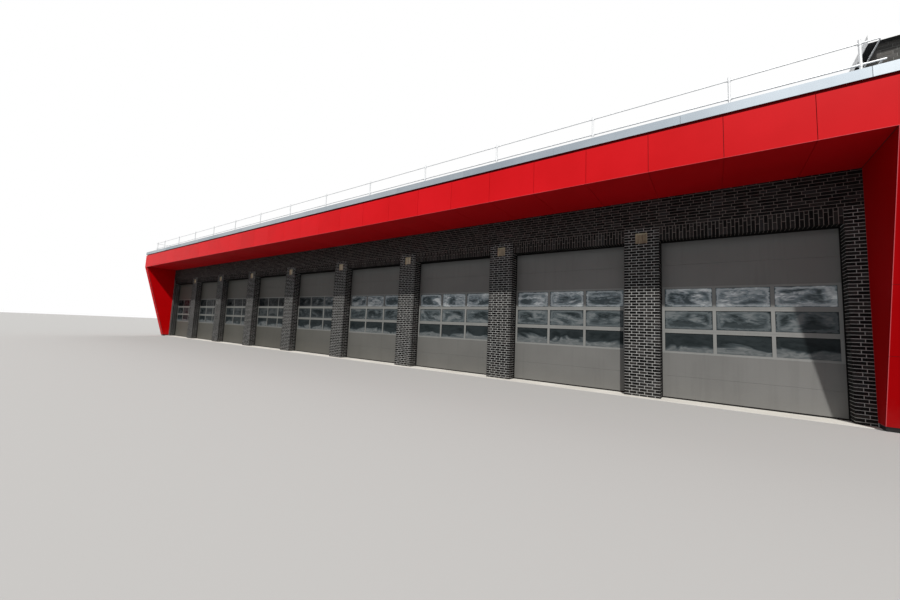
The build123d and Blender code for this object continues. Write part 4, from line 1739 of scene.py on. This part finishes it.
@dataclass
class GuardRail:
    """Tube rail on the roof with foot plates, bolts and clamp fittings."""

    finishes: Finishes
    overhang: float = 0.008
    setback: float = 0.240
    end_inset: float = 0.216
    first_post: float = 0.357
    second_post: float = 1.382
    spacing: float = 1.5
    post_height: float = 0.540
    post_radius: float = 0.0125
    top_height: float = 0.503
    top_radius: float = 0.0068
    knee_height: float = 0.280
    knee_radius: float = 0.0088
    overrun: float = 0.028
    return_length: float = 0.600
    slack: float = 0.0006
    plate: float = 0.050
    plate_thick: float = 0.006
    collar_height: float = 0.012
    collar_wall: float = 0.003
    clamp_walls: Span = (0.0028, 0.0026)
    clamp_reach: Span = (0.8, 1.3)
    clamp_margin: float = 0.004
    bolt_place: float = 0.72
    bolts: tuple[tuple[float, float, float, int], ...] = ((0.0, 0.004, 0.0042, 6), (0.004, 0.009, 0.0022, 8))

    def __post_init__(self) -> None:
        """Read the roof line from the CAD nodes."""
        low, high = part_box("hall_coping")
        self.left, self.right = low.x + self.overhang, high.x - self.overhang
        self.line = low.y + self.overhang + self.setback
        self.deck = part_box("guard_rail_front")[0].z

    def posts(self) -> list[float]:
        """Places of the front posts, from right to left."""
        last = self.left + self.first_post
        places = [self.right - self.first_post]
        place = self.right - self.second_post
        while place > last + self.spacing / 4:
            places.append(place)
            place -= self.spacing
        return [*places, last]

    def build(self) -> None:
        """Make the front rail and the two returns."""
        start = Vector((self.left + self.end_inset, self.line, self.deck))
        end = Vector((self.right - self.end_inset, self.line, self.deck))
        front = Pile()
        self.run(front, (start, end), [Vector((x, self.line, self.deck)) for x in self.posts()], self.overrun)
        front.piece("rail_front_tubes", Slot.RAIL, [self.finishes.zinc], ["guard_rail_front"])
        for side, x in ((Side.LEFT, start.x), (Side.RIGHT, end.x)):
            back = Vector((x, self.line + self.return_length, self.deck))
            near = Vector((x, self.line + self.knee_radius + self.slack, self.deck))
            pile = Pile()
            self.run(pile, (near, back), [back], 0.0)
            node = f"guard_rail_{side.value}_return"
            pile.piece(f"rail_{side.value}_return_tubes", Slot.RAIL, [self.finishes.zinc], [node])

    def run(self, pile: Pile, line: tuple[Vector, Vector], posts: Sequence[Vector], overrun: float) -> None:
        """One straight run with its posts.

        Args:
            pile: Where the faces go.
            line: Ends of the run on the roof.
            posts: Feet of its posts.
            overrun: How far the knee rail runs past the ends.
        """
        start, end = line
        way = (end - start).normalized()
        for height, radius, extra in (
            (self.top_height, self.top_radius, 0.0), (self.knee_height, self.knee_radius, overrun),
        ):
            pile.tube(start + UP * height - way * extra, end + UP * height + way * extra, radius)
        for foot in posts:
            self.post(pile, foot, way)

    def post(self, pile: Pile, foot: Vector, way: Vector) -> None:
        """One post with its plate, bolts and clamps.

        Args:
            pile: Where the faces go.
            foot: Middle of its foot.
            way: Direction of the rails.
        """
        half, thick, radius = self.plate / 2, self.plate_thick, self.post_radius
        pile.block((foot.x - half, foot.y - half, foot.z), (foot.x + half, foot.y + half, foot.z + thick))
        pile.tube(foot + UP * thick, foot + UP * self.post_height, radius)
        pile.tube(foot + UP * thick, foot + UP * (thick + self.collar_height), radius + self.collar_wall)
        for sx in (-1, 1):
            for sy in (-1, 1):
                bolt = foot + Vector((sx * half * self.bolt_place, sy * half * self.bolt_place, thick))
                for low, high, wide, sides in self.bolts:
                    pile.tube(bolt + UP * low, bolt + UP * high, wide, sides)
        for height, rail in ((self.top_height, self.top_radius), (self.knee_height, self.knee_radius)):
            middle, reach = foot + UP * height, rail + radius + self.clamp_margin
            for axis, inner, part, wall in zip((UP, way), (radius, rail), self.clamp_reach, self.clamp_walls):
                pile.tube(middle - axis * reach * part, middle + axis * reach * part, inner + wall)


@dataclass
class SideBlock:
    """Roof, white folded edge and dark soffit of the taller block."""

    finishes: Finishes
    fold: float = 0.004
    board_gap: float = 0.005
    boards: int = 2
    board_lift: float = 0.002
    cover_pitch: float = 1.6
    covers: int = 3
    cover_lap: float = 0.148
    cover_half: float = 0.025
    cover_edge: float = 0.001
    cover_heights: Span = (0.0035, 0.0001)

    def build(self) -> None:
        """Dress the nodes and add the soffit boards and the cover plates of the roof edge."""
        round_edges(dress("block_coping", self.finishes.white), 0.0014)
        dress("block_roof_deck", self.finishes.felt)
        dress("block_floor", self.finishes.concrete)
        dress("hall_floor", self.finishes.concrete)
        self.build_soffit()
        self.build_cover_plates()

    def build_soffit(self) -> None:
        """Narrow dark boards under the roof's overhang."""
        low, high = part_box("block_coping")
        wall_x0, wall_y0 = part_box("block_front_wall")[0].xy
        wall_x1, wall_y1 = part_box("block_right_wall")[1].x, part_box("block_back_wall")[1].y
        z0, z1 = low.z + self.board_lift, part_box("block_roof_deck")[0].z
        left, front, right, back = low.x + self.fold, low.y + self.fold, high.x - self.fold, high.y - self.fold
        pile = Pile()
        for (x0, y0), (x1, y1) in (
            ((left, front), (right, wall_y0)),
            ((left, wall_y1), (right, back)),
            ((left, wall_y0), (wall_x0, wall_y1)),
            ((wall_x1, wall_y0), (right, wall_y1)),
        ):
            along_x = x1 - x0 > y1 - y0
            start, end = (y0, y1) if along_x else (x0, x1)
            width = (end - start) / self.boards
            for k in range(self.boards):
                a = start + k * width + self.board_gap / 2
                b = start + (k + 1) * width - self.board_gap / 2
                if along_x:
                    pile.block((x0, a, z0), (x1, b, z1))
                else:
                    pile.block((a, y0, z0), (b, y1, z1))
        piece = pile.piece("block_soffit_boards", Slot.STEEL, [self.finishes.soffit])
        round_edges(piece, 0.001, 1)

    def build_cover_plates(self) -> None:
        """Thin cover plates over the joints on top of the roof edge."""
        low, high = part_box("block_coping")
        z0, z1 = (high.z - depth for depth in self.cover_heights)
        edge, lap = self.cover_edge, self.cover_lap
        pile = Pile()
        for number in range(1, self.covers + 1):
            y = low.y + number * self.cover_pitch
            for x0, x1 in ((low.x + edge, low.x + lap), (high.x - lap, high.x - edge)):
                pile.block((x0, y - self.cover_half, z0), (x1, y + self.cover_half, z1))
        pile.piece("roof_edge_cover_plates", Slot.COPING, [self.finishes.coping])


@dataclass(frozen=True)
class PhotoCamera:
    """Camera fitted to the photograph, in bays from the left jamb of the right-hand doorway."""

    focal: float = 365.93
    centre: Span = (449.09, 294.19)
    yaw: float = 0.6252
    pitch: float = 0.0926
    roll: float = 0.0438
    place: Triple = (0.2593, -2.5697, 0.3697)
    image: tuple[int, int] = (900, 600)
    sensor: float = 36.0
    clip: Span = (0.05, 300.0)

    def build(self) -> None:
        """Make the scene's camera."""
        pier_low, pier_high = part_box(f"pier_{DOORS}")
        origin = Vector((pier_high.x, pier_low.y, 0.0))
        level = Vector((math.cos(self.yaw), math.sin(self.yaw), 0.0))
        flat = math.cos(self.pitch)
        ahead = Vector((-math.sin(self.yaw) * flat, math.cos(self.yaw) * flat, math.sin(self.pitch)))
        above = level.cross(ahead)
        right = math.cos(self.roll) * level + math.sin(self.roll) * above
        top = -math.sin(self.roll) * level + math.cos(self.roll) * above
        turn = Matrix((right, top, -ahead)).transposed()
        data = bpy.data.cameras.new("photo_camera")
        width, height = self.image
        data.sensor_width = self.sensor
        data.lens = self.focal * self.sensor / width
        data.shift_x = (width / 2 - self.centre[0]) / width
        data.shift_y = (self.centre[1] - height / 2) / width
        data.clip_start, data.clip_end = self.clip
        camera = bpy.data.objects.new("photo_camera", data)
        camera.matrix_world = Matrix.Translation(origin + Vector(self.place) * BAY) @ turn.to_4x4()
        bpy.context.scene.collection.objects.link(camera)
        bpy.context.scene.camera = camera
        log.info("camera at %s", tuple(round(v, 3) for v in camera.matrix_world.translation))


@dataclass(frozen=True)
class SunLamp:
    """Broad distant lamp.

    Attributes:
        name: Name of the lamp.
        azimuth: Degrees from the street side towards the right end.
        height: Degrees above the horizon.
        strength: Light on a surface that faces it.
        angle: Width of the source in degrees, which softens its shadows.
        colour: Colour of its light.
    """

    name: str
    azimuth: float
    height: float
    strength: float
    angle: float = 45.0
    colour: Colour = (1.0, 1.0, 1.0)

    def build(self) -> None:
        """Hang the lamp in the scene."""
        data = bpy.data.lights.new(self.name, "SUN")
        data.energy = self.strength
        data.angle = math.radians(self.angle)
        data.color = self.colour
        lamp = bpy.data.objects.new(self.name, data)
        a, h = math.radians(self.azimuth), math.radians(self.height)
        toward = Vector((math.sin(a) * math.cos(h), -math.cos(a) * math.cos(h), math.sin(h)))
        lamp.rotation_mode = "QUATERNION"
        lamp.rotation_quaternion = toward.to_track_quat("Z", "Y")
        lamp.location = toward * LAMP_DISTANCE
        bpy.context.scene.collection.objects.link(lamp)


def seen(sheet: Sheet) -> Wire:
    """1 for rays from the camera, a glossy surface or through glass, and 0 for the rest."""
    path = sheet.node("LightPath", {})
    camera, glossy, through = (
        Wire(sheet, path.outputs[f"Is {kind} Ray"]) for kind in ("Camera", "Glossy", "Transmission")
    )
    return sheet.math("MAXIMUM", sheet.math("MAXIMUM", camera, glossy), through)


@dataclass(frozen=True)
class FloorFinish(Finish):
    """Pale even floor that throws little light back up at the building."""

    colour: Colour = (0.43, 0.425, 0.415)
    bounce: Colour = (0.198, 0.205, 0.210)

    def surface(self, sheet: Sheet, effects: Effects) -> Feeds:
        """One colour for the eye and a darker one for the light that it throws back."""
        return {
            "Base Color": sheet.blend(seen(sheet), self.bounce, self.colour),
            "Roughness": 0.9,
            "Specular IOR Level": 0.1,
        }


@dataclass(frozen=True)
class Studio:
    """Plain pale floor, white surround and soft light from the front right."""

    lamps: tuple[SunLamp, ...] = (
        SunLamp("key_light", 26.5, 49.0, 3.68, 1.2, (1.0, 0.985, 0.955)),
        SunLamp("fill_light", 205.0, 50.0, 0.7),
        SunLamp("low_front_light", -8.0, 9.0, 0.22),
    )
    floor_reach: float = 130.0
    floor_sides: int = 64
    ambient: Colour = (0.340, 0.345, 0.365)
    surround: Colour = (1.0, 1.0, 1.0)

    def build(self, effects: Effects) -> None:
        """Make the floor, the lamps and the world."""
        self.build_floor(effects)
        for lamp in self.lamps:
            lamp.build()
        self.build_world()

    def build_floor(self, effects: Effects) -> None:
        """Round floor at ground level."""
        mesh = bpy.data.meshes.new("studio_floor")
        turns = [math.tau * k / self.floor_sides for k in range(self.floor_sides)]
        edge = [(self.floor_reach * math.cos(turn), self.floor_reach * math.sin(turn), 0.0) for turn in turns]
        mesh.from_pydata(edge, [], [tuple(range(self.floor_sides))])
        mesh.materials.append(FloorFinish("studio_floor").make(effects))
        floor = bpy.data.objects.new("studio_floor", mesh)
        bpy.context.scene.collection.objects.link(floor)

    def build_world(self) -> None:
        """White surround for the camera, gloss and glass, and an even ambient light for the rest."""
        scene = bpy.context.scene
        world = bpy.data.worlds.new("studio_world")
        scene.world = world
        world.use_nodes = True
        sheet = Sheet(world.node_tree)
        back = world.node_tree.nodes["Background"]
        sheet.feed(back.inputs["Color"], sheet.blend(seen(sheet), self.ambient, self.surround))
        sheet.feed(back.inputs["Strength"], 1.0)
        scene.view_settings.view_transform = "Standard"


def main() -> None:
    """Build the whole scene in order."""
    logging.basicConfig(level=logging.INFO, format="%(name)s: %(message)s")
    PhotoCamera().build()
    finishes = Finishes()
    Studio().build(finishes.effects)
    for assembly in (
        FrontBrickwork, OuterBrickwork, SectionalDoors, Canopy, RoofEdge, GuardRail, SideBlock,
    ):
        assembly(finishes).build()


if __name__ == "__main__":
    main()
